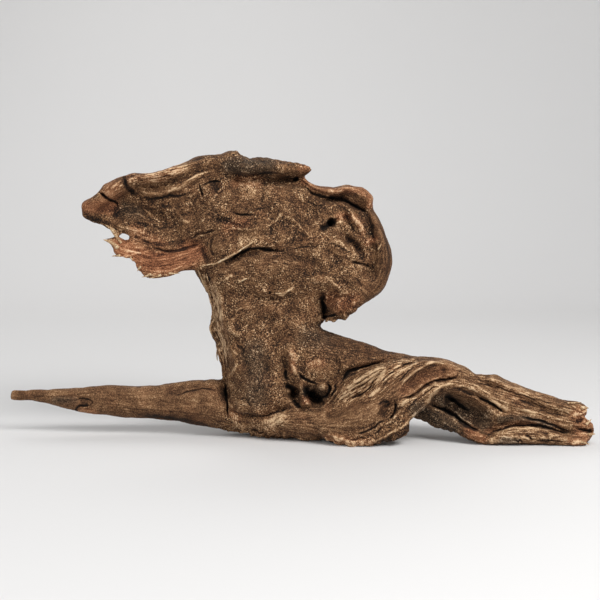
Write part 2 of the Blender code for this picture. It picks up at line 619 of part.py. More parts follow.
def weather(obj):
    """Uneven swells and ripples over the whole skin."""
    points, normals = points_and_normals(obj.data)
    swell = np.array([
        LUMP_HEIGHT * noise.noise(Vector(p) / LUMP_SIZE)
        + RIPPLE_HEIGHT * noise.noise(Vector(p) / RIPPLE_SIZE)
        for p in points
    ])
    move_points(obj.data, points + normals * swell[:, None])


def thin_out(obj):
    """Fewer triangles where the skin is flatter."""
    obj.data.calc_loop_triangles()
    fewer = obj.modifiers.new("Thin out", "DECIMATE")
    fewer.ratio = TRIANGLES / len(obj.data.loop_triangles)
    apply_modifiers(obj)


def stand_on_floor(obj):
    """Flat worn spots where the lower edge meets the floor."""
    cut = bmesh.new()
    cut.from_mesh(obj.data)
    whole = cut.verts[:] + cut.edges[:] + cut.faces[:]
    bmesh.ops.bisect_plane(cut, geom=whole, plane_co=(0, 0, 0), plane_no=(0, 0, -1),
                           clear_outer=True, dist=1e-6)
    open_edges = [edge for edge in cut.edges if edge.is_boundary]
    bmesh.ops.edgenet_fill(cut, edges=open_edges)
    bmesh.ops.recalc_face_normals(cut, faces=cut.faces)
    bmesh.ops.triangulate(cut, faces=cut.faces)
    cut.to_mesh(obj.data)
    cut.free()


def centre(obj):
    """Puts the origin on the floor under the middle of the box round the wood."""
    points, _ = points_and_normals(obj.data)
    middle = (points.min(axis=0) + points.max(axis=0)) / 2
    move_points(obj.data, points - np.array([middle[0], middle[1], 0]))


def wood():
    material = bpy.data.materials.new("weathered wood")
    material.use_nodes = True
    shader = material.node_tree.nodes["Principled BSDF"]
    shader.inputs["Base Color"].default_value = (*WOOD_COLOUR, 1)
    shader.inputs["Roughness"].default_value = WOOD_ROUGHNESS
    shader.inputs["Metallic"].default_value = 0
    return material


def main():
    for old in list(bpy.data.objects):
        bpy.data.objects.remove(old)
    pieces = bpy.data.collections.new("river driftwood")
    bpy.context.scene.collection.children.link(pieces)
    driftwood = bpy.data.objects.new("driftwood", rough_limbs())
    pieces.objects.link(driftwood)
    fuse(driftwood)
    smooth(driftwood, SMOOTHING)
    carve(driftwood)
    fuse(driftwood)
    weather(driftwood)
    smooth(driftwood, 1)
    thin_out(driftwood)
    stand_on_floor(driftwood)
    centre(driftwood)
    driftwood.data.materials.append(wood())
    driftwood.data.shade_smooth()


main()
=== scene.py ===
# River driftwood with its weathered finish: grain, cracks, curls of bark and torn fibres.
# Places on the front are (u, v): millimetres right of the middle and up from the floor line,
# as the camera sees them. Places on the back are (x, z), seen straight from behind.
import math

import bmesh
import bpy
import numpy as np
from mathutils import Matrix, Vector, noise
from mathutils.bvhtree import BVHTree


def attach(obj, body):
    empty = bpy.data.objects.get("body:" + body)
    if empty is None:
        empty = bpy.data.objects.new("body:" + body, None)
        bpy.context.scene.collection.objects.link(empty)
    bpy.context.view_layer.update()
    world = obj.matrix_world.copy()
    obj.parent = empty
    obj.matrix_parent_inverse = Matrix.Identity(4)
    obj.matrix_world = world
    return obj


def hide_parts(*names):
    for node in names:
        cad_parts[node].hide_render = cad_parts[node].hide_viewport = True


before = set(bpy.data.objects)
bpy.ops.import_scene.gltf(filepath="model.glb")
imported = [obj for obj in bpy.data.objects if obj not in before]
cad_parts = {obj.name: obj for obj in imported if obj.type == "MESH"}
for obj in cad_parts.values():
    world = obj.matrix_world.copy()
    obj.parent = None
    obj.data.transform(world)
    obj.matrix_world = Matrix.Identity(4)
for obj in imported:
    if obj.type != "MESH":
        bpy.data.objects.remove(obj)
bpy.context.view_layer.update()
print("frame loaded")

millimetre = 0.001
samePlace = 1e-6  # points nearer than this, in metres, are one

view = {
    "eyeDistance": 1000.0,  # in front of the wood
    "eyeHeight": 206.0,
    "aimHeight": 109.3,  # where the camera looks on the plane through the wood
    "aimV": 108.0,  # the v of that place
    "middle": (-1.817, -4.410),  # where the frame's origin lies on the drawing
    "pictureWidth": 480.0,  # at the place it looks at
    "sensorWidth": 36,
}

drop = view["eyeHeight"] - view["aimHeight"]
sightLength = math.hypot(view["eyeDistance"], drop)

# Small shifts of the skin that bring its outline to the real one: (u, v, right, up, reach).
nudges = [
    (-143, 158, 4.0, 0.0, 9),
    (-156, 200, -0.8, 1.4, 9),
    (-163, 191.5, 0, -0.8, 5),
    (-227, 36, 0, 1.2, 9),
    (-226, 26, 0, -1.0, 9),
    (-230, 35.5, -1.2, 1.0, 6),
    (-231, 28, -1.6, -1.0, 6),
    (-173, 175, -0.8, -0.8, 7),
    (36, 94, 0.5, -2.0, 4.5),
    (29, 95, 0, 1.9, 4),
    (42, 99, 1.0, -0.6, 4),
    (-192, 24, 0, -1.0, 12),
    (-132, 12, 0, -1.0, 14),
    (22, 88.5, 0, 3.2, 6),
    (60, 120, 1.6, -1.0, 14),
    (72, 166, 1.0, 0, 12),
    (44, 192, 0, -0.8, 8),
    (60, 73, 0.3, 1.0, 10),
    (132, 54, 0, 1.2, 9),
    (157, 47, 0, 1.0, 8),
    (141, 48.5, 0, -0.7, 5),
    (-53, 227.5, 1.8, 0.6, 6),
    (59, 190, 1.0, 0, 6),
    (36, 199.5, 0, 1.2, 9),
    (66, -8, 0, 2.0, 9),
    (88.5, 9.5, -2.8, 0.3, 8),
]

# The grain runs along these lines. Each has the distance over which it steers the grain.
grainLines = [
    (22, [(-236, 32), (-180, 29), (-120, 27), (-60, 24)]),
    (10, [(-160, 157), (-140, 147), (-120, 140), (-100, 140), (-80, 148)]),
    (8, [(-132, 136), (-114, 129), (-96, 134), (-84, 142)]),
    (10, [(-176, 183), (-160, 188), (-140, 203), (-120, 205), (-100, 210), (-80, 219), (-55, 224)]),
    (9, [(-128, 200), (-122, 193), (-108, 194), (-92, 199), (-78, 207), (-62, 214)]),
    (14, [(-150, 178), (-125, 175), (-100, 180), (-75, 192), (-58, 198)]),
    (12, [(-140, 163), (-120, 158), (-95, 158), (-70, 168), (-45, 176), (-20, 172)]),
    (10, [(-80, 136), (-60, 141), (-40, 151), (-15, 150), (10, 142)]),
    (12, [(-60, 132), (-30, 136), (0, 130), (16, 124)]),
    (9, [(-62, 215), (-30, 214), (6, 213)]),
    (6, [(0, 206), (12, 198), (28, 193), (44, 197), (57, 191), (56, 183)]),
    (9, [(52, 182), (62, 172), (70, 152), (71, 136), (64, 120), (48, 106), (36, 98)]),
    (9, [(34, 180), (45, 170), (52, 155), (52, 136), (40, 122), (26, 118)]),
    (14, [(-40, 205), (-28, 190), (-12, 176), (6, 160), (18, 146), (28, 132)]),
    (6, [(32, 168), (29, 174), (22, 174), (16, 168), (19, 161), (27, 161), (32, 168)]),
    (10, [(-74, 122), (-68, 96), (-60, 60), (-58, 24)]),
    (8, [(-44, 103), (-54, 96), (-57, 87), (-50, 78), (-40, 80), (-36, 90)]),
    (12, [(-46, 124), (-20, 112), (0, 116), (12, 106)]),
    (12, [(-46, 68), (-40, 50), (-46, 30), (-30, 22)]),
    (12, [(-18, 102), (-22, 76), (-20, 48), (-14, 24)]),
    (7, [(-9, 70), (-5, 54), (-2, 40)]),
    (8, [(-10, 22), (0, 19), (14, 20), (24, 26), (31, 38)]),
    (12, [(-58, 14), (-34, 11), (-10, 17), (16, 14), (40, 14), (58, 18), (72, 28), (84, 40),
          (98, 50), (114, 55), (130, 52)]),
    (9, [(-56, 7), (-30, 5), (0, 1), (30, -1), (50, -4), (66, -1), (80, 6), (92, 18), (104, 30),
         (118, 39)]),
    (9, [(26, 24), (38, 32), (52, 44), (66, 53), (82, 59), (102, 62)]),
    (9, [(40, 24), (54, 30), (64, 40), (76, 51), (90, 58)]),
    (14, [(0, 82), (22, 76), (46, 68), (72, 64), (96, 63)]),
    (8, [(78, 30), (90, 40), (104, 48), (126, 49)]),
    (12, [(112, 60), (132, 52), (160, 43), (200, 31), (232, 21)]),
    (12, [(126, 43), (150, 33), (180, 22), (236, 5)]),
    (9, [(104, 30), (120, 27), (134, 18), (150, 8), (170, 12)]),
    (9, [(92, 16), (110, 12), (130, 2), (150, -5), (190, -6), (232, -4)]),
    (7, [(148, -1), (160, 5), (176, 8), (192, 7), (222, 0)]),
]

# Where the wood is worn smooth, not gritty: (half width, amount, line).
smoothPlaces = [
    (30, 1.0, [(-236, 32), (-150, 28), (-80, 24)]),
    (15, 1.0, [(-152, 150), (-136, 145), (-118, 137), (-98, 139), (-86, 146)]),
    (11, 1.0, [(-172, 183), (-160, 184), (-150, 194), (-142, 200)]),
    (7, 0.9, [(-134, 205), (-114, 206), (-98, 212), (-84, 218)]),
    (5, 0.8, [(-126, 196), (-114, 193), (-96, 198), (-80, 206)]),
    (5, 1.0, [(4, 204), (16, 197), (30, 195), (46, 197), (56, 192)]),
    (9, 0.8, [(40, 190), (50, 186)]),
    (9, 0.9, [(60, 174), (68, 154), (70, 138), (64, 122), (54, 113)]),
    (6, 0.9, [(-72, 120), (-67, 100), (-64, 80), (-60, 58)]),
    (10, 0.5, [(-58, 134), (-32, 139), (-6, 137)]),
    (9, 0.8, [(-65, 151)]),
    (7, 0.6, [(-133, 162), (-124, 156), (-114, 152)]),
    (18, 0.9, [(-6, 10), (20, 10), (50, 16), (78, 36), (108, 52)]),
    (15, 0.8, [(34, 34), (56, 46), (84, 58), (110, 58)]),
    (24, 0.5, [(30, 70), (70, 62)]),
    (26, 0.9, [(124, 50), (160, 34), (200, 20), (236, 6)]),
    (16, 0.9, [(140, -2), (180, 0), (234, 0)]),
]

# Lighter and darker places: (half width, amount, line). Most are the wood's own colour; some are
# painted light or shade, as marked.
tonePlaces = [
    (10, -0.12, [(-170, 182), (-152, 183)]),
    (9, 0.28, [(-152, 196), (-147, 192)]),
    (6, 0.3, [(-120, 206), (-108, 210), (-94, 215)]),
    (8, -0.12, [(-86, 217), (-66, 221)]),
    (5, 0.12, [(-122, 199), (-104, 200)]),
    (12, -0.18, [(-146, 180), (-130, 176), (-118, 182)]),
    (7, -0.2, [(-172, 175), (-160, 171)]),
    (14, -0.04, [(-114, 172), (-92, 174)]),
    (9, -0.08, [(-124, 138), (-108, 137), (-92, 144)]),
    # painted highlight on the flap's tip
    (7, 0.25, [(-151, 152), (-140, 148)]),
    (10, -0.2, [(-54, 216), (-28, 216)]),
    (14, -0.1, [(0, 160), (14, 180)]),
    (9, -0.10, [(66, 160), (68, 140), (62, 124)]),
    (7, -0.15, [(44, 178), (56, 170), (58, 160)]),
    (8, -0.08, [(26, 103), (38, 104)]),
    (6, 0.65, [(-68, 118), (-66, 104), (-65, 96)]),
    (6, 0.35, [(-66, 94), (-63, 80), (-60, 62)]),
    (14, 0.12, [(-44, 196), (-38, 192)]),
    (7, 0.3, [(-54, 150), (-44, 156), (-34, 158)]),
    (7, -0.2, [(36, 124)]),
    (16, -0.1, [(-140, 173), (-112, 168)]),
    (6, 0.12, [(-144, 166), (-128, 163)]),
    (10, -0.2, [(20, 186), (34, 182)]),
    (9, -0.2, [(52, 172), (56, 164)]),
    (9, 0.1, [(20, 124)]),
    (8, 0.2, [(-4, 64)]),
    (12, -0.1, [(-40, 60), (-34, 44)]),
    (16, -0.18, [(26, 68), (48, 62), (66, 62)]),
    (8, 1.1, [(36, 30), (45, 37.5), (59, 48), (65, 51.5)]),
    (6, 0.35, [(58, 36), (68, 47), (78, 53), (90, 57)]),
    (6, 0.4, [(84, 26), (96, 36), (110, 41), (120, 42)]),
    (18, 0.14, [(20, 12), (46, 14), (60, 20)]),
    # painted highlight on top of the limb
    (7, 0.3, [(112, 58), (122, 57)]),
    (16, 0.12, [(128, 50), (160, 38), (190, 26)]),
    (14, 0.14, [(150, 34), (184, 24), (212, 16)]),
    (9, -0.22, [(92, 22), (106, 18), (124, 4)]),
    (10, 0.12, [(228, 18), (230, 4), (224, -6)]),
    (22, -0.13, [(-36, 178), (-6, 158), (4, 136)]),
    (16, -0.08, [(-30, 90), (-30, 40)]),
    (10, -0.1, [(24, 80), (44, 72), (70, 66)]),
    (9, -0.1, [(66, 166), (70, 146), (66, 130)]),
    (9, -0.08, [(-50, 217), (-20, 215), (2, 212)]),
    (8, -0.12, [(-150, 190), (-146, 198)]),
    (9, 0.12, [(-150, 26), (-120, 26), (-84, 26)]),
    (14, -0.14, [(-76, 186), (-66, 172)]),
    (7, 0.16, [(-122, 200), (-112, 199), (-102, 201)]),
    (7, -0.16, [(36, 190), (50, 188)]),
    (9, -0.12, [(24, 104), (38, 106)]),
    (6, -0.1, [(14, 194), (30, 194), (46, 196)]),
    (9, 0.12, [(44, 38), (62, 48)]),
    (6, -0.08, [(124, 46), (146, 44)]),
    (6, 0.2, [(31, 174), (36, 169)]),
    (8, 0.14, [(-133, 162), (-122, 156)]),
    # painted shade inside the hollow low in the middle
    (9, -0.2, [(-9, 46), (-6, 34), (6, 29), (17, 31)]),
    (12, -0.06, [(-44, 46), (-30, 30)]),
    # painted highlight along the top of the limb
    (6, 0.2, [(166, 43), (182, 37)]),
    (5, 0.2, [(128, 40), (140, 37), (150, 31)]),
    (8, -0.15, [(172, 28), (186, 25), (203, 22)]),
    (6, 0.35, [(166, 21), (176, 19.5), (188, 17.5)]),
    (7, -0.4, [(70, -4), (80, -1), (87, 5)]),
    (12, 0.12, [(160, 26), (180, 24), (205, 22)]),
    (8, 0.12, [(124, 26), (134, 20), (146, 14)]),
    (8, -0.18, [(104, 14), (120, 9), (134, 2)]),
    (9, 0.3, [(158, 0), (190, 1), (215, -1)]),
    (9, 0.5, [(-26, 8), (-14, 13)]),
    (5, 0.4, [(-58, 17), (-50, 12)]),
    (4, 0.15, [(-50, 5), (-30, 2)]),
    (7, 0.35, [(26, -3), (44, -7), (56, -7)]),
    # painted shade along the underside of the stick
    (6, -0.2, [(-130, 15), (-104, 13), (-80, 9)]),
    (6, 0.08, [(-200, 33), (-150, 33), (-110, 33)]),
    (9, 0.1, [(-92, 26), (-74, 24)]),
]

# Where edges are flaky and uneven: (half width, amount, line).
raggedPlaces = [
    (6, 1.0, [(-62, 3), (-40, 1), (-20, -2), (0, -4), (14, -5), (30, -5), (50, -9), (70, -5),
              (86, 0), (92, 9)]),
    (5, 0.8, [(-128, 128), (-134, 137), (-148, 144), (-152, 152)]),
    (5, 0.6, [(-80, 130), (-73, 112), (-69, 88), (-64, 66), (-60, 44)]),
    (7, 0.7, [(18, 93), (30, 94), (42, 101)]),
    (8, 0.5, [(28, 104), (38, 106)]),
    (6, 0.8, [(96, 10), (112, 4), (128, -1), (142, -5), (160, -8)]),
    (7, 0.6, [(224, 20), (230, 8), (230, -5)]),
    (8, 0.5, [(-14, 34), (0, 28), (20, 32)]),
    (6, 0.5, [(-160, 168), (-150, 164), (-140, 162)]),
    (4, 0.5, [(-56, 224), (-30, 221), (-8, 219), (8, 213)]),
]

# Smooth wood whose grain hardly shows: (half width, amount, line).
plainPlaces = [
    (30, 1.0, [(-236, 32), (-150, 28), (-80, 24)]),
    (10, 1.0, [(-174, 183), (-152, 183)]),
    (9, 0.7, [(15, 50)]),
    (13, 0.8, [(20, 14), (40, 14), (60, 18)]),
    (8, 0.8, [(88, 36), (104, 46), (120, 50)]),
    (9, 0.8, [(60, 174), (68, 154), (70, 138), (64, 122), (54, 113)]),
    (9, 0.8, [(40, 190), (50, 186)]),
    (9, 0.6, [(-65, 151)]),
    (14, 0.5, [(-146, 150), (-120, 138), (-98, 139), (-84, 147)]),
]

# Where light and dark fibres lie side by side: (half width, amount, line).
streakPlaces = [
    (8, 1.0, [(-76, 122), (-69, 106), (-67, 92), (-64, 76), (-61, 60)]),
    (7, 1.0, [(34, 28), (45, 37.5), (59, 48), (70, 55), (80, 58)]),
    (6, 0.8, [(54, 32), (66, 46), (78, 53), (90, 57), (104, 60)]),
    (7, 0.6, [(72, 6), (84, 24), (96, 34), (110, 41)]),
    (14, 0.2, [(130, 50), (160, 36), (196, 24), (226, 16)]),
    (10, 0.3, [(152, -2), (180, 2), (215, -2)]),
    (6, 0.6, [(-134, 206), (-114, 207), (-96, 214)]),
]

# Fresh, orange to pink wood where it is torn, and reddish wood: (half width, amount, line).
warmPlaces = [
    (14, 1.0, [(-142, 149), (-134, 146), (-118, 138), (-98, 139), (-86, 146)]),
    (8, 0.7, [(-172, 183), (-160, 183), (-150, 182)]),
    (12, 0.7, [(-151, 196)]),
    (6, 0.35, [(-136, 206), (-114, 208), (-98, 214)]),
    (7, 0.4, [(-50, 203), (-34, 203)]),
    (5, 0.5, [(1, 213), (7, 213)]),
    (5, 0.55, [(4, 204), (16, 197), (30, 195), (46, 197), (56, 192)]),
    (4, 0.7, [(57, 190), (56, 184)]),
    (6, 0.5, [(-58, 166), (-44, 170)]),
    (4, 0.6, [(31, 175), (44, 174), (51, 162)]),
    (4, 0.8, [(54, 154), (60, 157)]),
    (9, 0.6, [(24, 108), (34, 104), (44, 107)]),
    (4, 0.5, [(-6, 66), (-6, 52)]),
    (5, 0.9, [(5, 28)]),
    (5, 0.4, [(8, 57), (18, 58)]),
    (5, 0.5, [(-56, 18), (-50, 14)]),
    (6, 0.4, [(24, -2), (40, -6), (56, -6)]),
    (9, 0.3, [(86, 36), (102, 46), (120, 49)]),
    (6, 0.6, [(136, 3), (146, -3)]),
    (4, 0.3, [(150, 3), (166, 8), (186, 9)]),
    (12, 0.6, [(226, 14), (230, 4), (224, -6)]),
    (4, 0.5, [(-176, 19), (-164, 18)]),
    (8, 0.45, [(-132, 163), (-122, 156), (-112, 152)]),
]

# Grey, dark or lichen-stained wood: (half width, amount, line).
greyPlaces = [
    (9, 0.7, [(-56, 215), (-40, 215), (-26, 215)]),
    (9, 0.5, [(-142, 182), (-130, 178)]),
    (14, 0.5, [(-36, 66), (-34, 44), (-36, 32)]),
    (12, 0.4, [(4, 78), (18, 76)]),
    (7, 0.7, [(6, 34), (16, 32)]),
    (12, 0.7, [(116, 26), (132, 18), (146, 12)]),
    (5, 0.7, [(162, -5), (172, -5)]),
    (4, 0.7, [(160, 12), (180, 13), (200, 7)]),
    (8, 0.4, [(108, 12), (122, 6)]),
    (4, 0.6, [(-196, 28), (-180, 27.5)]),
    (9, 0.7, [(94, 20), (108, 14), (122, 6)]),
]

# Lines of the front: (half width, height, tone, points). Heights below zero are cracks.
# A tone below zero is partly darker wood, partly painted shade in cracks; above zero, partly paler
# wood, partly painted highlight.
shellLines = [
    (1.5, -4.0, -1.0, [(-161, 194.5), (-157, 191.5), (-152, 188), (-147, 185.5), (-145, 182)]),
    (3.0, -1.0, -0.5, [(-146, 184), (-146.5, 178), (-149, 173)]),
    (3.0, -0.5, -0.6, [(-173, 179), (-168, 174.5), (-160, 171), (-150, 169)]),
    (9.0, 1.0, 0.0, [(-150, 198)]),
    (2.6, -2.5, -0.9, [(-142, 207.5), (-140, 203), (-138, 198), (-134, 194), (-130, 193)]),
    (1.6, 1.0, 0.4, [(-134, 206), (-133, 199), (-131, 195)]),
    (3.5, 1.0, 0.3, [(-136, 208), (-126, 207.5), (-114, 208.5), (-104, 212), (-96, 215)]),
    (4.0, 0.2, 0.45, [(-106, 210), (-98, 212), (-92, 215)]),
    (2.4, 1.6, 0.3, [(-131, 206), (-129, 200), (-124, 194.5), (-116, 192.5), (-108, 193.5),
                     (-100, 196), (-92, 200), (-84, 205), (-76, 210), (-70, 212)]),
    (0.8, 0.8, 1.2, [(-95, 201), (-87, 205), (-80, 209), (-70, 212)]),
    (3.6, -1.2, -0.1, [(-124, 202), (-115, 200), (-106, 202), (-98, 206)]),
    (4.0, 0.0, 0.25, [(-120, 194), (-105, 195), (-92, 198), (-80, 199), (-70, 203)]),
    # painted shadow under the crest above
    (1.8, -1.6, -0.8, [(-128, 190), (-118, 189), (-108, 190.5), (-98, 191.5), (-88, 194)]),
    (1.1, -3.0, -1.0, [(-81, 201), (-79.5, 196), (-78, 190)]),
    (5.0, -1.2, -0.7, [(-72, 203), (-66, 198), (-68, 192)]),
    (1.2, -2.0, -0.9, [(-78, 200), (-70, 203), (-62, 202)]),
    (1.3, 1.0, 0.7, [(-70, 190), (-64, 196), (-60, 200)]),
    (1.2, 0.8, 0.6, [(-90, 190), (-84, 193), (-79, 194)]),
    (1.3, 0.9, 0.7, [(-126, 181), (-120, 177), (-114, 172), (-110, 170)]),
    (1.0, 0.6, 0.4, [(-122, 184), (-112, 180), (-104, 178)]),
    (1.5, 0.6, 0.9, [(-107, 177)]),
    (1.2, 0.6, 0.4, [(-142, 176), (-132, 177), (-124, 174)]),
    (1.4, 0.6, 0.3, [(-146, 181), (-136, 183), (-128, 182)]),
    (1.2, 0.7, 0.5, [(-100, 171), (-92, 172), (-88, 168)]),
    (1.3, 0.8, 0.4, [(-96, 183), (-90, 186), (-84, 184)]),
    (2.0, -1.2, -0.4, [(-111, 185), (-107, 182.5), (-102, 183)]),
    (1.9, -1.1, -0.4, [(-96, 177), (-92, 176), (-87, 179)]),
    (2.0, -1.0, -0.4, [(-119, 169), (-113, 165.5), (-106, 166)]),
    (1.6, -1.2, -0.6, [(-132, 170), (-122, 168)]),
    (2.2, 1.0, 0.3, [(-150, 170), (-140, 166), (-130, 164), (-122, 160)]),
    (2.4, 0.8, 0.4, [(-140, 166), (-134, 163.5), (-128, 163)]),
    (1.8, -1.2, -0.5, [(-134, 160), (-126, 156), (-119, 153)]),
    (1.6, -1.8, -0.7, [(-119, 152), (-117, 149.5), (-113, 148.5), (-105, 146.8), (-97, 148),
                       (-88, 150.5), (-79, 154)]),
    (2.4, -0.6, -0.45, [(-128, 155), (-120, 154), (-110, 152), (-98, 154), (-86, 157)]),
    (2.6, 0.3, 0.35, [(-117, 145), (-111, 144.5)]),
    (1.3, -1.8, -0.6, [(-86, 158), (-79, 161.5), (-74, 162), (-67, 165)]),
    (3.5, -1.5, -0.5, [(-70, 171), (-60, 172), (-50, 168), (-40, 168)]),
    (1.2, -2.0, -0.8, [(-54, 178), (-47, 176), (-42, 176.5), (-36, 176)]),
    (1.4, 0.9, 0.5, [(-62, 163), (-52, 165), (-42, 164), (-32, 166)]),
]

flapLines = [
    (1.4, 0.7, 0.8, [(-152, 157), (-146, 151), (-138, 147.5), (-128, 146), (-118, 148)]),
    (1.1, 0.5, 0.6, [(-146, 143), (-138, 143.5), (-130, 145)]),
    (1.2, 0.5, 0.5, [(-136, 153), (-130, 150), (-122, 149)]),
    (1.1, 0.6, 0.35, [(-132, 139), (-122, 139.5), (-110, 140), (-98, 143), (-86, 147)]),
    (1.1, 0.6, 0.35, [(-129, 134), (-120, 131.5), (-110, 130.5), (-100, 132.5), (-90, 137)]),
    (1.2, 0.7, 0.8, [(-127, 131), (-118, 128.5), (-108, 128), (-98, 131)]),
    (0.9, -0.5, -0.2, [(-130, 137), (-118, 135), (-104, 136), (-92, 141), (-82, 147)]),
    (0.9, -0.5, -0.2, [(-130, 142), (-118, 143), (-104, 145), (-90, 149)]),
    # painted shadow on the flap below the lobe's edge
    (2.5, -0.8, -0.4, [(-125, 152), (-118, 146), (-110, 143)]),
    (1.4, -1.2, -0.5, [(-69, 160), (-71.5, 154), (-71, 147), (-67, 142)]),
    (3.0, -1.2, -0.5, [(-79, 150), (-76, 143), (-72, 138)]),
    (1.1, 1.2, 1.0, [(-78, 135.5), (-70, 136.8), (-63, 139), (-58, 142), (-52, 145), (-46, 149),
                     (-40, 153), (-35, 156)]),
    # these two paint the shadow under the light edge of the fold, into the crack and onto the wood
    # below
    (1.5, -3.6, -1.0, [(-60, 138.5), (-54, 141.5), (-48, 145), (-41, 148.5), (-33, 149.5),
                       (-26, 148), (-14, 147)]),
    (3.0, -0.6, -0.4, [(-56, 139), (-46, 143.5), (-36, 145)]),
    (4.0, 0.5, 0.45, [(-54, 150), (-46, 155), (-36, 157)]),
]

headLines = [
    (9.0, 0.8, -0.1, [(-54, 216), (-40, 215), (-28, 216)]),
    (1.6, -2.0, -0.6, [(-58, 209), (-46, 208), (-34, 208.5), (-24, 210), (-12, 209)]),
    (2.4, -6.0, -1.1, [(-6, 203), (-3, 204.5), (-1, 206)]),
    (8.0, 0.5, 0.3, [(-50, 201), (-34, 201)]),
    (8.0, 0.5, 0.3, [(-50, 191), (-33, 191)]),
    (2.2, -0.7, -0.25, [(-31, 203), (-28.5, 195), (-31, 185)]),
    (3.0, 0.6, 0.2, [(-27, 199), (-26, 190)]),
    (7.0, 1.2, 0.15, [(-14, 160)]),
    (1.6, -1.0, -0.45, [(-22, 168), (-23.5, 161), (-21, 154), (-16, 151)]),
    (1.3, -0.8, -0.35, [(-5, 166), (-4.5, 158), (-8, 152)]),
    (2.4, 0.6, 0.2, [(-26, 196), (-19, 186), (-13, 178)]),
    (2.0, 0.5, 0.2, [(-13, 178), (-19, 172), (-24, 168)]),
    (4.0, -0.6, -0.2, [(-34, 144), (-10, 143), (8, 140)]),
    (6.0, 0.8, 0.12, [(-50, 138), (-25, 136), (0, 136)]),
    (3.0, 0.8, 0.3, [(22, 159), (34, 152.5), (47, 146)]),
    (1.5, 0.5, 0.35, [(22, 150), (33, 144.5), (44, 141)]),
    (1.2, -0.6, -0.4, [(24, 155), (34, 149), (42, 144.5)]),
    (2.4, 1.0, 0.4, [(58, 150), (60, 143), (58, 137)]),
    (1.4, -0.8, -0.4, [(4, 188), (12, 184), (20, 183)]),
    (1.4, 0.5, 0.25, [(-2, 190), (6, 186), (14, 181)]),
    (1.2, -0.7, -0.4, [(-6, 148), (6, 151), (14, 150)]),
    (1.4, 0.6, 0.3, [(-2, 152), (8, 155), (15, 153)]),
    (1.2, -0.7, -0.4, [(38, 128), (46, 124), (50, 118)]),
    (1.4, 0.6, 0.35, [(42, 121), (50, 117), (54, 112)]),
    (1.6, -0.5, -0.25, [(-48, 183), (-38, 180), (-28, 182)]),
    (1.5, 0.5, 0.5, [(-9, 202), (-7, 200)]),
    (1.2, 0.8, 0.5, [(-24, 194), (-23, 200)]),
    (2.8, 1.0, 0.4, [(4, 205), (9, 200.5), (16, 197), (24, 194.5), (31, 195), (38, 198), (45, 199),
                     (52, 197), (56, 193)]),
    (0.9, -0.8, -0.4, [(3, 203), (10, 197.5), (18, 194), (28, 192.5)]),
    (1.3, -2.4, -0.9, [(2, 200), (9, 194.5), (17, 191), (26, 189.5), (33, 189.5)]),
    (2.0, 0.8, 0.6, [(57, 191), (57, 187), (55, 183)]),
    (1.9, -5.0, -1.1, [(33, 189.5), (38, 186.5), (44, 183), (50, 180), (54, 178.5)]),
    (3.6, -4.5, -1.0, [(15.5, 163.5), (22, 168), (30, 173)]),
    (4.2, -2.2, -0.6, [(22.5, 168), (28.5, 171.5)]),
    (0.9, 0.8, 1.0, [(-20, 170), (-18, 173), (-15, 178)]),
    (0.8, 0.6, 0.6, [(-8, 173.5), (-4, 171), (1, 166), (6, 161), (9, 157)]),
    (2.0, -0.8, -0.35, [(-8, 171), (0, 163), (5, 157)]),
    (0.8, 0.4, 0.4, [(-2, 175), (3, 170), (9, 164)]),
    (0.9, 0.7, 0.9, [(9, 167.5), (13, 169), (17, 171.5)]),
    (0.9, 0.6, 0.6, [(-8, 168), (-2, 165), (2, 162)]),
    (0.9, 0.6, 0.8, [(-26, 157), (-22, 160)]),
    (0.9, 0.6, 0.6, [(-25, 150), (-21, 152)]),
    (0.9, 0.5, 0.8, [(22, 159), (26, 156)]),
    (0.9, 0.5, 0.6, [(24, 181), (27, 184)]),
    (0.9, 0.6, 0.7, [(33, 186), (36, 183)]),
    (2.0, 1.0, 0.6, [(31, 175), (34, 173)]),
    (3.1, 2.2, 0.9, [(40, 179.5), (44.5, 172.5), (48.5, 167.5), (51, 160)]),
    (3.4, 1.4, 0.35, [(30.4, 175.5), (35, 170), (39, 164)]),
    (1.5, -1.1, -0.4, [(36, 178), (40, 170), (45, 162)]),
    (1.5, 0.8, 0.5, [(30, 169), (34, 171), (38, 168)]),
    (3.7, -2.8, -0.65, [(35, 161), (41, 156), (46.5, 150), (49.5, 143), (51, 137)]),
    (2.4, 1.6, 0.6, [(53, 154), (58, 156), (63, 152)]),
    (0.9, 0.8, 1.1, [(63, 149), (65, 152)]),
    (1.5, -1.1, -0.45, [(54, 178), (57, 168), (58, 160), (61, 152), (60, 144)]),
    (1.3, -2.0, -0.9, [(40, 138.5), (46, 137.5), (51, 136.5), (56, 133)]),
    (0.9, 0.5, 0.6, [(42, 140), (50, 138.5)]),
    (1.2, -0.8, -0.35, [(64, 168), (69, 156), (71, 144), (70, 132), (65, 121), (57, 112)]),
    (1.5, 0.8, 0.15, [(60, 172), (65, 160), (67, 148), (66, 136), (62, 126), (54, 116)]),
    (2.4, 1.0, 0.5, [(15, 127), (20, 126), (28, 123)]),
    (1.5, 0.8, 0.6, [(22, 124), (28, 121), (33, 117)]),
    (1.2, 0.6, 0.6, [(30, 112), (36, 114), (40, 113)]),
    (2.8, -5.0, -1.2, [(19, 113), (18, 107), (20, 101), (19, 95)]),
    (1.6, -3.0, -1.1, [(17, 94), (24, 95), (31, 96)]),
    (1.6, 1.5, 0.8, [(21, 110)]),
    (1.8, 0.8, 0.5, [(44, 108), (42, 104)]),
]

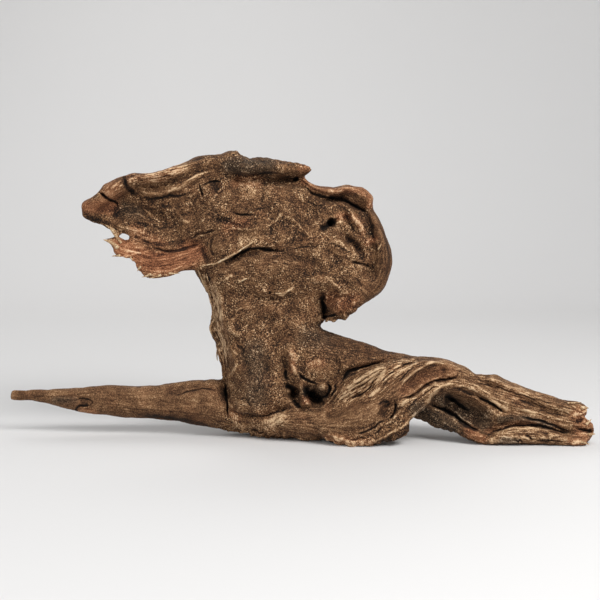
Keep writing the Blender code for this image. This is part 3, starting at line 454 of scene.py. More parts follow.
trunkLines = [
    (5.0, 0.0, 0.35, [(-70, 118), (-66, 104), (-66, 92), (-62, 76), (-60, 60)]),
    (0.9, 1.0, 1.1, [(-79, 130), (-76, 124), (-73, 117), (-71, 113)]),
    (0.8, 0.8, 0.9, [(-76, 129), (-73, 123), (-71, 118)]),
    (0.8, -1.2, -1.0, [(-75, 131), (-73, 126), (-71, 120)]),
    (2.2, 0.6, 0.5, [(-66, 108), (-63, 112), (-62, 104)]),
    (0.9, -1.0, -0.5, [(-70, 96), (-66, 84), (-62, 70), (-60, 56)]),
    (0.9, -1.0, -0.4, [(-66, 98), (-63, 86), (-59, 72), (-57, 60)]),
    (0.9, 0.8, 0.5, [(-68, 90), (-64, 78), (-61, 64)]),
    (1.9, 0.8, 1.1, [(-60, 124), (-56, 127), (-54, 125)]),
    (0.9, 0.7, 1.0, [(-49, 122), (-45, 124.5), (-41, 125.5)]),
    (1.2, 1.0, 1.0, [(-19, 113), (-14, 113), (-9, 115), (-5, 118)]),
    (2.4, 1.4, 0.6, [(-27, 114), (-29, 117)]),
    (1.8, -3.0, -1.0, [(-24, 115), (-24, 113)]),
    (0.9, 0.6, 0.6, [(-30, 112), (-26, 109), (-22, 112)]),
    (2.8, 1.8, 0.5, [(-51, 95), (-55.4, 89), (-53.4, 82.4), (-46, 79.2)]),
    (2.6, -1.0, -0.3, [(-47, 92), (-50, 88), (-47, 83)]),
    (1.0, 0.8, 0.8, [(-52, 98), (-48, 101), (-44, 101)]),
    (1.2, 0.8, 0.6, [(-49, 84), (-44, 86), (-41, 90)]),
    (1.0, 1.1, 0.8, [(-56, 72), (-54, 68), (-49, 63)]),
    (2.2, 1.0, 0.7, [(-56, 46), (-53, 52), (-50, 58)]),
    (1.8, -1.3, -0.7, [(-50, 72), (-46, 68), (-46, 63)]),
    (2.6, 0.7, 0.6, [(-58, 41), (-54, 38), (-57, 33)]),
    (1.0, 0.8, 0.6, [(-59, 33), (-57, 26), (-53, 21)]),
    (2.4, 0.8, 0.6, [(-55, 18), (-51, 15)]),
    (1.3, -0.9, -0.35, [(-56, 21), (-50, 17.5), (-42, 16), (-34, 15.5)]),
    (1.1, -2.0, -0.8, [(-34, 15.5), (-28, 15.5), (-22, 17.5), (-15, 19), (-9, 21)]),
    (1.5, -4.0, -1.1, [(-60, 42), (-59.5, 34), (-58.5, 26), (-58, 20), (-57.5, 14)]),
    (1.1, -0.9, -0.45, [(-49, 29), (-44, 29), (-41, 26), (-39, 22)]),
    (1.6, 0.8, 0.3, [(-49, 26), (-45, 26), (-42, 22.5)]),
    (2.6, 1.0, 0.6, [(-30, 8), (-24, 12), (-18, 16), (-11, 19)]),
    (1.4, 0.6, 0.8, [(-26, 5), (-20, 10), (-14, 14)]),
    (0.9, -0.9, -0.5, [(-20, 6), (-14, 9), (-9, 14)]),
    (3.4, 1.6, 0.6, [(-8, 67), (-4, 63), (-1, 60)]),
    (1.8, 1.5, 0.7, [(-7, 58), (-5, 53), (-3, 48)]),
    (1.8, -3.0, -1.0, [(-12, 52), (-11, 47), (-9, 44)]),
    (1.8, -3.5, -1.2, [(-1, 50), (2, 46), (8, 43), (14, 41)]),
    (2.6, 1.2, 0.55, [(5.5, 53), (8, 57), (13, 59), (19, 57.5)]),
    (1.2, 0.8, 0.5, [(6, 52), (8, 46), (12, 42.5), (18, 41.5)]),
    (1.2, -0.6, -0.35, [(3.4, 47), (3.9, 53), (7.5, 59), (12, 61.5)]),
    (3.0, -4.0, -1.2, [(-12, 40), (-8, 38), (-4, 36)]),
    (4.0, -4.0, -1.1, [(3, 40), (6, 34), (12, 30), (18, 27)]),
    (1.6, -4.0, -1.2, [(22, 42), (24, 38), (22, 33), (17, 29)]),
    (2.4, -4.0, -1.1, [(-6, 28), (-3, 25), (1, 22)]),
    (1.2, 2.0, 0.4, [(0, 42), (1, 36), (-1, 31)]),
    (3.4, 2.5, 0.8, [(18, 39)]),
    (2.0, 3.0, 0.8, [(5, 30), (6, 26), (4, 24)]),
    (1.1, 1.0, 0.4, [(8, 21), (16, 22), (22, 26), (27, 32), (30, 38)]),
    (1.1, -2.2, -1.0, [(24, 30), (28, 36), (29, 42)]),
    (2.5, 0.5, 0.4, [(-56, 9), (-44, 7), (-34, 7)]),
    (1.2, -1.2, -0.7, [(-40, 5), (-34, 3), (-28, 1)]),
    (2.0, 0.5, 0.5, [(4, -3), (10, -4)]),
    (8.0, 0.0, -0.4, [(4, 78), (18, 76)]),
]

braidLines = [
    (1.6, -3.6, -1.0, [(33, 41), (36, 47), (40, 51), (47, 53.5), (54, 55.5), (62, 57), (70, 58)]),
    (0.9, 0.8, 0.6, [(42, 50), (50, 53), (60, 56.5), (70, 58.5)]),
    (5.5, 2.0, 0.25, [(38, 37), (46, 43), (54, 47), (60, 50.5), (66, 53.5), (72, 57)]),
    (0.8, -1.0, -0.4, [(38, 39), (46, 45.5), (54, 49.5), (62, 53)]),
    (0.8, -0.8, -0.35, [(42, 39), (50, 43.5), (58, 48), (68, 53.5)]),
    (0.8, 0.6, 0.5, [(40, 40), (48, 45), (56, 49), (66, 54)]),
    (0.8, 0.6, 0.5, [(44, 38), (52, 43), (60, 48), (70, 55)]),
    (1.6, -1.5, -0.7, [(34, 44), (40, 48), (46, 50)]),
    (2.2, 0.8, 0.9, [(35, 33), (38.5, 31.5)]),
    (0.8, -0.8, -0.35, [(38, 35), (46, 41), (56, 47.5), (64, 52)]),
    (0.8, -1.0, -0.6, [(44, 46), (54, 51), (64, 55), (74, 58)]),
    (1.2, -2.4, -1.0, [(38, 27), (44, 31), (50, 33), (56, 38), (60, 44), (64, 50), (70, 54)]),
    (1.4, 0.8, 0.3, [(44, 34), (52, 37), (58, 43)]),
    (2.4, 1.2, 1.0, [(54, 30.5), (60, 34), (65, 38.5)]),
    (1.6, 1.0, 0.5, [(50, 27), (60, 30), (68, 38), (74, 45), (82, 51), (92, 57), (100, 60)]),
    (1.0, -1.6, -0.8, [(62, 40), (68, 46), (76, 52), (86, 57), (94, 60)]),
    (1.5, 0.8, 0.7, [(74, 45), (80, 50)]),
    (1.2, 0.8, 0.9, [(76, 57), (84, 59.5), (92, 61)]),
    (0.9, -0.8, -0.5, [(80, 62), (90, 63), (98, 62)]),
    (0.8, -1.0, -0.7, [(84, 56.5), (92, 58)]),
    (1.4, 1.6, 0.8, [(80, 38), (84, 44), (90, 49.5), (97, 54), (104, 57), (112, 59)]),
    (0.8, -1.2, -0.6, [(78, 40), (82, 46), (88, 52), (95, 56.5)]),
    (7.0, -2.0, 0.0, [(84, 35), (92, 42), (102, 48), (114, 50), (122, 50)]),
    (1.7, -4.0, -1.1, [(80, 29), (86, 30), (92, 32), (98, 37), (104, 41.5), (112, 43.5),
                       (120, 44.5), (125, 46.5), (127, 49.5)]),
    (2.0, 1.6, 0.7, [(80, 20), (84, 26), (90, 30), (98, 36), (106, 41), (114, 42)]),
    (3.0, 1.0, 0.25, [(84, 12), (90, 20), (98, 28), (106, 35), (114, 38)]),
    (0.9, -1.4, -0.5, [(84, 18), (90, 25), (98, 32), (106, 38), (112, 40)]),
    (1.8, 1.6, 1.1, [(62, -4), (70, 0), (78, 4), (85, 9), (92, 16), (98, 22), (104, 27)]),
    (1.8, 1.4, 1.1, [(98, 22), (104, 30), (110, 36), (117, 39.5), (124, 41)]),
    (5.0, -2.0, -0.4, [(64, 14), (66, 20), (70, 24), (73, 23)]),
    (1.3, -3.5, -1.1, [(75.5, 27), (76.5, 22), (75, 17), (71, 12)]),
    (1.0, -1.0, -0.6, [(62, 24), (68, 27), (72, 26)]),
    (0.8, -0.3, -0.2, [(24, 12), (38, 12), (54, 14)]),
    (0.8, -0.4, -0.25, [(14, 8), (28, 5), (44, 4), (58, 8)]),
    (1.1, -2.0, -0.9, [(44, 1), (50, 2), (58, 5), (64, 10), (70, 12)]),
    (1.0, -1.2, -0.6, [(60, 1), (66, 6), (74, 10)]),
    (1.4, 1.0, 0.6, [(66, 6), (74, 12), (78, 18)]),
    (2.6, 1.0, 0.7, [(22, -2), (30, -3), (38, -6), (48, -7), (56, -6)]),
    (1.0, -1.4, -0.8, [(40, -3.5), (48, -3), (54, -2)]),
    (2.4, -0.6, -0.5, [(66, -4), (74, -4), (82, -1), (86, 3)]),
]

limbLines = [
    (1.6, 0.8, 0.25, [(122, 56), (130, 52), (142, 47), (156, 44), (170, 38), (186, 33), (204, 28)]),
    (0.9, -1.1, -0.45, [(128, 46), (140, 42), (154, 39), (168, 35), (184, 30), (202, 25),
                        (220, 20)]),
    (1.8, 1.0, 0.4, [(126, 40.5), (134, 38.5), (144, 34), (152, 29), (160, 23.5), (166, 20)]),
    (1.4, 0.6, 0.6, [(124, 41), (127, 39), (131, 39.5)]),
    (1.2, 0.6, 0.6, [(134, 37), (139, 36.5), (143, 33)]),
    (0.9, 0.5, 0.6, [(150, 28.5), (156, 25), (161, 21.5)]),
    (1.3, -3.6, -1.1, [(141, 32), (147, 28), (153, 24.5), (159, 21), (164.5, 18.6)]),
    (1.4, -1.2, -0.7, [(124, 37.5), (129, 36), (133, 34), (139, 32)]),
    (1.2, 0.6, 0.5, [(160, 34), (176, 29), (192, 25), (208, 20), (224, 16)]),
    (0.9, -1.0, -0.45, [(164, 28), (180, 23), (196, 19), (214, 14)]),
    (1.1, 0.7, 0.5, [(168, 23), (184, 19), (200, 15), (216, 10)]),
    (1.4, -2.2, -0.9, [(176, 14.5), (185, 13), (196, 10), (206, 6), (219, 1)]),
    (9.0, -1.2, -0.3, [(110, 28), (122, 24), (134, 18), (146, 11), (152, 8)]),
    (2.2, -4.5, -1.2, [(117, 30.5), (121, 29.5), (125, 26.5), (129, 23), (134, 20)]),
    (2.4, -1.5, -1.0, [(117.5, 29.5), (122, 29), (125, 26.5)]),
    (0.9, 0.8, 0.35, [(112, 26), (122, 20), (132, 12), (142, 6)]),
    (0.9, 0.7, 0.35, [(128, 19), (136, 15), (144, 14), (152, 14)]),
    (1.0, 0.6, 0.3, [(130, 28), (138, 24), (146, 18), (152, 12)]),
    (1.8, -4.5, -1.2, [(104, 25), (110, 22), (118, 19), (126, 14), (132, 9), (138, 5), (145, 2.5)]),
    (1.5, 1.2, 0.6, [(103, 22), (112, 19), (120, 15), (128, 10)]),
    (1.2, 0.6, 0.3, [(100, 17), (110, 12), (120, 7), (132, 1)]),
    (1.4, -3.0, -1.1, [(149, -2), (152, 1), (159, 4), (167, 6.2), (176, 7.3), (188, 8), (196, 6.3),
                       (206, 3), (221, 0)]),
    (1.6, 0.8, -0.1, [(148, 2), (156, 6), (166, 9), (178, 10.5), (190, 10), (202, 7)]),
    (1.8, 0.8, 0.5, [(156, 1), (164, 3.5), (176, 4.8), (188, 5), (198, 3)]),
    (0.9, -1.2, -0.7, [(172, -3), (174.5, -5.5), (176, -4), (178.5, -6.5)]),
    (1.2, -1.2, -0.7, [(180, 0), (183.5, -1), (185, -2.6), (188, -3)]),
    (2.2, -0.6, -0.5, [(188, 1.2), (194, 1), (200, -0.8)]),
    (0.9, 0.6, 1.0, [(176, -1), (180, -2), (184, -3.6), (190, -4)]),
    (0.9, 0.8, 1.1, [(193, -2.6), (197, -2.4), (202, -3.4)]),
    (1.2, -1.8, -1.0, [(191, -4.6), (197, -4.2), (204, -4.6), (211, -6)]),
    (1.4, -0.8, -0.8, [(158, -8), (172, -8), (186, -8), (204, -8)]),
    (0.9, -1.0, -0.5, [(176, 15.5), (190, 12), (200, 9), (211, 6)]),
    (2.0, 0.8, 0.8, [(152, -5), (157, -3)]),
    (2.0, -2.4, -0.6, [(220.5, 10), (223, 11.4), (226, 11)]),
    (1.5, -3.0, -0.8, [(221, 5.2), (227, 4), (235, 2.4)]),
    (1.0, 0.6, 0.8, [(220, 2), (228, 1), (234, 0)]),
    (1.0, 0.6, 0.7, [(216, -6), (224, -5), (231, -3)]),
    (1.2, 0.6, 0.9, [(218, 16), (226, 18), (230, 22)]),
    (0.9, 0.5, 0.5, [(214, 8), (222, 8), (230, 8)]),
]

stickLines = [
    # painted shade along the underside of the stick, over a shallow groove
    (2.2, -0.5, -0.6, [(-130, 16), (-110, 14), (-95, 12), (-80, 9), (-68, 7)]),
    (1.1, -1.2, -0.6, [(-179.2, 27.7), (-175, 29), (-170, 28.5), (-165.8, 25.5), (-168, 23.6)]),
    (1.3, -1.8, -0.9, [(-168, 23.6), (-174, 23.6), (-178, 22.6), (-179.2, 20), (-176, 18)]),
    (3.2, -0.5, -0.5, [(-176, 26), (-169, 26)]),
    (1.0, 0.5, 0.3, [(-171, 22), (-174, 21), (-176, 20)]),
    (1.4, 0.6, 0.4, [(-178, 19.5), (-172, 19.5), (-164, 18.5)]),
    (1.8, -0.3, -0.35, [(-196, 28), (-188, 27.5), (-180, 27.5)]),
    (1.0, -1.2, -0.6, [(-100, 31.5), (-92, 34), (-84, 36), (-74, 37), (-66, 35)]),
    # painted shadow on the stick beside the trunk
    (3.5, -0.3, -0.4, [(-66, 40), (-63, 34), (-61, 26)]),
    (3.0, 0.0, 0.25, [(-200, 33), (-185, 34)]),
    (3.0, 0.0, 0.25, [(-156, 32), (-146, 34)]),
    (0.8, -0.4, -0.2, [(-220, 32), (-200, 31), (-184, 32), (-160, 35)]),
    (0.8, -0.4, -0.2, [(-160, 31), (-130, 32), (-104, 33)]),
    (0.8, -0.5, -0.2, [(-150, 22), (-120, 20), (-90, 18), (-66, 14)]),
    (2.5, 0.2, 0.3, [(-92, 28), (-80, 26), (-70, 24)]),
    (1.2, 0.2, 0.4, [(-140, 20), (-136, 18)]),
    (1.0, -0.3, -0.5, [(-231.5, 35.5), (-232, 32), (-231.5, 28)]),
]

frontLines = shellLines + flapLines + headLines + trunkLines + braidLines + limbLines + stickLines

# The back, which the front view hides: long cracks and ridges along the same grain, with painted
# shade in the cracks.
backLines = [
    (1.6, -2.4, -0.9, [(-140, 197), (-118, 197), (-96, 203), (-74, 211)]),
    (1.6, 1.2, 0.6, [(-160, 173), (-136, 165), (-112, 161), (-90, 165), (-70, 179)]),
    (1.5, -2.2, -0.9, [(-150, 170), (-130, 160), (-108, 155), (-88, 158)]),
    (2.0, -3.0, -1.0, [(-66, 202), (-56, 186), (-58, 164), (-68, 146)]),
    (1.6, 1.2, 0.7, [(-40, 214), (-20, 204), (4, 198), (30, 190)]),
    (1.8, -3.0, -1.0, [(-34, 204), (-12, 196), (10, 190), (34, 180), (54, 168)]),
    (2.2, -4.0, -1.1, [(4, 160), (9, 152), (13, 146)]),
    (1.6, 1.2, 0.6, [(-24, 176), (-2, 182), (22, 176), (34, 158), (28, 138), (8, 126)]),
    (1.8, -3.0, -1.0, [(-44, 168), (-34, 146), (-30, 124), (-38, 100), (-44, 76)]),
    (1.6, 1.0, 0.6, [(-54, 140), (-48, 112), (-54, 86), (-50, 60)]),
    (1.8, -3.2, -1.0, [(-18, 122), (-14, 98), (-20, 76), (-30, 52), (-34, 26)]),
    (1.6, 1.2, 0.6, [(0, 116), (2, 94), (-6, 72), (-14, 46), (-18, 20)]),
    (1.8, -3.0, -1.0, [(18, 66), (44, 52), (74, 42), (104, 34), (134, 24), (164, 14)]),
    (1.6, 1.2, 0.7, [(26, 74), (54, 62), (86, 52), (118, 44), (150, 32), (186, 18)]),
    (1.4, -2.0, -0.8, [(60, 34), (90, 26), (122, 20), (150, 8)]),
    (1.2, 0.8, 0.4, [(-190, 31), (-160, 30), (-124, 30), (-92, 30), (-62, 34)]),
    (1.2, -1.4, -0.6, [(-170, 24), (-136, 22), (-100, 20), (-70, 16)]),
]


def placesOf(points):
    # (u, v) of points in the frame, and the directions in which the camera sees them
    eye = np.array([0, -view["eyeDistance"], view["eyeHeight"]])
    sight = points + np.array([*view["middle"], 0]) - eye
    away = (sight[:, 1] * view["eyeDistance"] - sight[:, 2] * drop) / sightLength
    up = (sight[:, 1] * drop + sight[:, 2] * view["eyeDistance"]) / sightLength
    places = np.stack([sight[:, 0], up], axis=1) * sightLength / away[:, None]
    return places + np.array([0, view["aimV"]]), sight / np.linalg.norm(sight, axis=1)[:, None]


def curveThrough(points, perSpan=4):
    # more points on a smooth curve through the given ones
    rows = np.array(points, float)
    if len(rows) == 1:
        return rows
    ends = np.vstack([2 * rows[0] - rows[1], rows, 2 * rows[-1] - rows[-2]])
    made = []
    for before, start, stop, after in zip(ends, ends[1:], ends[2:], ends[3:]):
        for t in np.arange(perSpan) / perSpan:
            made.append(0.5 * (2 * start + (stop - before) * t
                               + (2 * before - 5 * start + 4 * stop - after) * t ** 2
                               + (3 * start - before - 3 * stop + after) * t ** 3))
    made.append(rows[-1])
    return np.array(made)


def distanceAlong(places, start, step, length):
    # distance of each place from one straight step, and the share of it passed at the nearest point
    share = np.clip((places - start) @ step / (length * length), 0, 1)
    return np.linalg.norm(places - start - share[:, None] * step, axis=1), share


def distanceFrom(places, line):
    # distance of each place from the line, and the share of the line passed at its nearest point
    if len(line) == 1:
        return np.linalg.norm(places - line[0], axis=1), np.full(len(places), 0.5)
    lengths = np.linalg.norm(np.diff(line, axis=0), axis=1)
    passed = np.concatenate([[0], np.cumsum(lengths)])
    nearest = np.full(len(places), np.inf)
    along = np.zeros(len(places))
    for start, stop, length, before in zip(line, line[1:], lengths, passed):
        away, share = distanceAlong(places, start, stop - start, length)
        closer = away < nearest
        nearest[closer] = away[closer]
        along[closer] = (before + share[closer] * length) / passed[-1]
    return nearest, along


def nudged(places):
    # how far each place is shifted
    shift = np.zeros_like(places)
    for u, v, right, up, reach in nudges:
        share = np.clip(1 - np.linalg.norm(places - (u, v), axis=1) / reach, 0, 1)
        shift += (share * share * (3 - 2 * share))[:, None] * np.array([right, up])
    return shift


def drawn(places, lines):
    # what all the lines add up to at each place, for each value that they carry
    total = np.zeros((len(places), len(lines[0]) - 2))
    for width, *values, points in lines:
        line = curveThrough(points)
        low, high = line.min(axis=0) - width, line.max(axis=0) + width
        near = np.all((places > low) & (places < high), axis=1)
        if not near.any():
            continue
        away, along = distanceFrom(places[near], line)
        # a line thins out towards both ends
        ends = np.clip(np.minimum(along, 1 - along) * wood["lineTaper"], wood["lineTip"], 1)
        if len(points) == 1:
            ends = 1
        shape = np.clip(1 - (away / (width * np.sqrt(ends))) ** 2, 0, 1)
        shape = shape ** wood["lineSharpness"] * ends
        total[near] += shape[:, None] * np.array(values)
    return total


def patched(places, patches, slope):
    # what each patch gives at each place: a steeper slope makes it fuller, with a harder edge
    for width, amount, points in patches:
        away, _ = distanceFrom(places, curveThrough(points))
        yield amount * np.clip(slope - slope * away / width, 0, 1)


def covered(places, patches):
    # how far each place is inside the patches, 0 to 1
    most = np.zeros(len(places))
    for given in patched(places, patches, 1.6):
        most = np.maximum(most, given)
    return most


def painted(places, patches):
    # the sum of all the patches at each place
    return sum(patched(places, patches, 1.5))


def unevenness(points, size, seed=0):
    # soft noise, about -1 to 1, with lumps of this size
    return np.array([noise.noise(p) for p in (points / size + seed * 17.3).tolist()])


def unevenPlaces(points, size, seed):
    # the same in two directions
    return np.stack([unevenness(points, size, seed), unevenness(points, size, seed + 1)], axis=1)


def weighed(weights, *values):
    # the first weight, and each further one times its value
    total = weights[0]
    for weight, value in zip(weights[1:], values):
        total = total + weight * value
    return total


def grainAt(places):
    # direction of the grain, as the angle above the horizontal, read from the nearest grain lines
    turnX = np.zeros(len(places))
    turnY = np.zeros(len(places))
    for reach, points in grainLines:
        line = curveThrough(points, 3)
        for start, stop in zip(line, line[1:]):
            step = stop - start
            length = np.linalg.norm(step)
            away, _ = distanceAlong(places, start, step, length)
            weight = length / (1 + (away / reach) ** 4) / reach
            angle = 2 * math.atan2(step[1], step[0])
            turnX += weight * math.cos(angle)
            turnY += weight * math.sin(angle)
    return np.arctan2(turnY, turnX) / 2


def only(obj):
    for other in bpy.context.selected_objects:
        other.select_set(False)
    obj.select_set(True)
    bpy.context.view_layer.objects.active = obj


def apply(obj, kind, **settings):
    only(obj)
    modifier = obj.modifiers.new(kind.lower(), kind)
    for name, value in settings.items():
        setattr(modifier, name, value)
    bpy.ops.object.modifier_apply(modifier=modifier.name)


def readMesh(mesh, what):
    values = np.empty(len(mesh.vertices) * 3)
    mesh.vertices.foreach_get(what, values)
    return values.reshape(-1, 3)


def writePoints(mesh, points):
    mesh.vertices.foreach_set("co", (points * millimetre).ravel())
    mesh.update()


def trianglesOf(mesh):
    mesh.calc_loop_triangles()
    corners = np.empty(len(mesh.loop_triangles) * 3, np.int32)
    mesh.loop_triangles.foreach_get("vertices", corners)
    return corners.reshape(-1, 3)


def grainSteps(mesh, points, directions, stride):
    # for each point, the three corners and their shares one stride ahead and one behind
    corners = trianglesOf(mesh)
    tree = BVHTree.FromPolygons(points.tolist(), corners.tolist())
    steps = []
    for sign in (1, -1):
        found = [tree.find_nearest(p) for p in (points + directions * stride * sign).tolist()]
        places = np.array([f[0] for f in found])
        hit = corners[[f[2] for f in found]]
        a, b, c = (points[hit[:, i]] for i in range(3))
        ab, ac, ap = b - a, c - a, places - a
        d11, d12, d22 = (np.sum(p * q, axis=1) for p, q in ((ab, ab), (ab, ac), (ac, ac)))
        d31, d32 = np.sum(ap * ab, axis=1), np.sum(ap * ac, axis=1)
        whole = np.maximum(d11 * d22 - d12 * d12, 1e-9)
        second = (d22 * d31 - d12 * d32) / whole
        third = (d11 * d32 - d12 * d31) / whole
        shares = np.clip(np.stack([1 - second - third, second, third], axis=1), 0, 1)
        steps.append((hit, shares / shares.sum(axis=1)[:, None]))
    return steps


def combed(values, steps, times):
    # each value becomes the mean along the grain, so that specks turn into fibres
    total = values.copy()
    for corners, shares in steps:
        moved = values
        for _ in range(times):
            moved = np.sum(moved[corners] * shares, axis=1)
            total += moved
    total -= total.mean()
    return total / total.std()


def spread(values, edges, count, times):
    # mean with the neighbours, several times over
    links = np.bincount(edges.ravel(), minlength=count)
    shape = values.shape
    values = values.reshape(count, -1).copy()
    for _ in range(times):
        for i in range(values.shape[1]):
            column = values[:, i]
            sums = np.bincount(edges[:, 0], column[edges[:, 1]], count)
            sums += np.bincount(edges[:, 1], column[edges[:, 0]], count)
            values[:, i] = 0.5 * column + 0.5 * sums / np.maximum(links, 1)
    return values.reshape(shape)


def setAttributes(mesh, attributes):
    for name, values in attributes.items():
        vectors = values.ndim == 2
        attribute = mesh.attributes.new(name, "FLOAT_VECTOR" if vectors else "FLOAT", "POINT")
        flat = values.astype(np.float32).ravel()
        attribute.data.foreach_set("vector" if vectors else "value", flat)


wood = {
    "voxel": 0.8,  # squares of the skin that is carved
    "triangles": 194000,
    "crisp": 48,  # edges that bend more degrees than this stay sharp
    "crease": 0.85,  # how sharp they stay
    "softening": 6,
    "wobble": 0.8,  # how far lines stray from where they were drawn
    "wobbleSize": 6.0,
    "jitterSize": 2.5,
    "lineSharpness": 1.5,
    "lineTaper": 6,
    "lineTip": 0.3,  # what is left of a line at its ends
    "lineUnevenness": 0.5,
    "turningAway": 3,  # how late the drawing fades where the wood turns from the eye
    "fibreStride": 1.1,  # one step along the grain
    "fibreSteps": 6,
    "ridgeSteps": 16,
    "ridgeSize": 2.8,  # from one lengthwise ridge to the next
    "bends": 1.3,  # how far the grain turns aside, in long bends and in short ones
    "bendSize": 18,
    "curls": 0.6,
    "curlSize": 7,
    "calm": 0.12,  # the share of that left in smooth wood
    # heights of the relief: all over, more where it is gritty, and more at ragged edges
    "lumps": (0.1, 0.38, 1.5),
    "lumpSize": 4.2,
    "crumbs": (0.05, 0.30, 0.5),
    "crumbSize": 2.1,
    "ridges": (0.15, -0.08),
    "swell": (0.4, 0.5),
    "swellSize": 9,
    "fibres": 0.05,
    "pitDepth": 0.9,
    "pitLevel": 0.35,  # crumbs higher than this become pits
    # the back is less gritty than the front, and its long grain shows
    "backRelief": 0.8,
    "backSmooth": 0.45,
    "backWarm": 0.25,
    "backGrey": 0.3,
    # the next two set the fine and broad scales of the painted highlight on ridges and painted
    # shade in hollows
    "crestSteps": 3,  # how far off the skin is that a crest stands out from, and a hump
    "humpSteps": 22,
}


def grainDirections(points, normals, places, facing, smoothness):
    # the grain laid into the skin, stirred up where the wood is gritty
    front = facing > 0
    drawnOn = np.where(front[:, None], places, points[:, [0, 2]])
    angle = grainAt(drawnOn)
    stir = unevenness(points, wood["bendSize"], 1) * wood["bends"]
    stir += unevenness(points, wood["curlSize"], 2) * wood["curls"]
    angle = angle + stir * np.where(smoothness > 0.5, wood["calm"], 1.0 - 1.76 * smoothness)
    flat = np.stack([np.cos(angle), np.zeros(len(angle)), np.sin(angle)], axis=1)
    flat -= normals * np.sum(flat * normals, axis=1)[:, None]
    return flat / np.maximum(np.linalg.norm(flat, axis=1), 1e-6)[:, None]


def bareSkin():
    # an even, fine skin over the solid, with its sharp edges kept
    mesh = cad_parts["driftwood"].data.copy()
    mesh.name = "weatheredWood"
    mesh.materials.clear()
    merged = bmesh.new()
    merged.from_mesh(mesh)
    bmesh.ops.remove_doubles(merged, verts=merged.verts, dist=samePlace)
    crease = merged.edges.layers.float.new("crease_edge")
    for edge in merged.edges:
        crisp = edge.calc_face_angle(0) > math.radians(wood["crisp"])
        edge[crease] = wood["crease"] if crisp else 0
    merged.to_mesh(mesh)
    merged.free()
    piece = bpy.data.objects.new("weatheredWood", mesh)
    bpy.context.scene.collection.objects.link(piece)
    apply(piece, "SUBSURF", levels=1, render_levels=1)
    apply(piece, "REMESH", mode="VOXEL", voxel_size=wood["voxel"] * millimetre)
    # smoothed and let out again in turn, so that it keeps its size
    for factor in (0.5, -0.52) * wood["softening"] + (0.5,):
        apply(piece, "SMOOTH", factor=factor, iterations=1)
    return piece


def thinned(piece):
    now = len(trianglesOf(piece.data))
    apply(piece, "DECIMATE", ratio=min(1, wood["triangles"] / now))
    print("thinned from", now, "to", len(trianglesOf(piece.data)), "triangles")


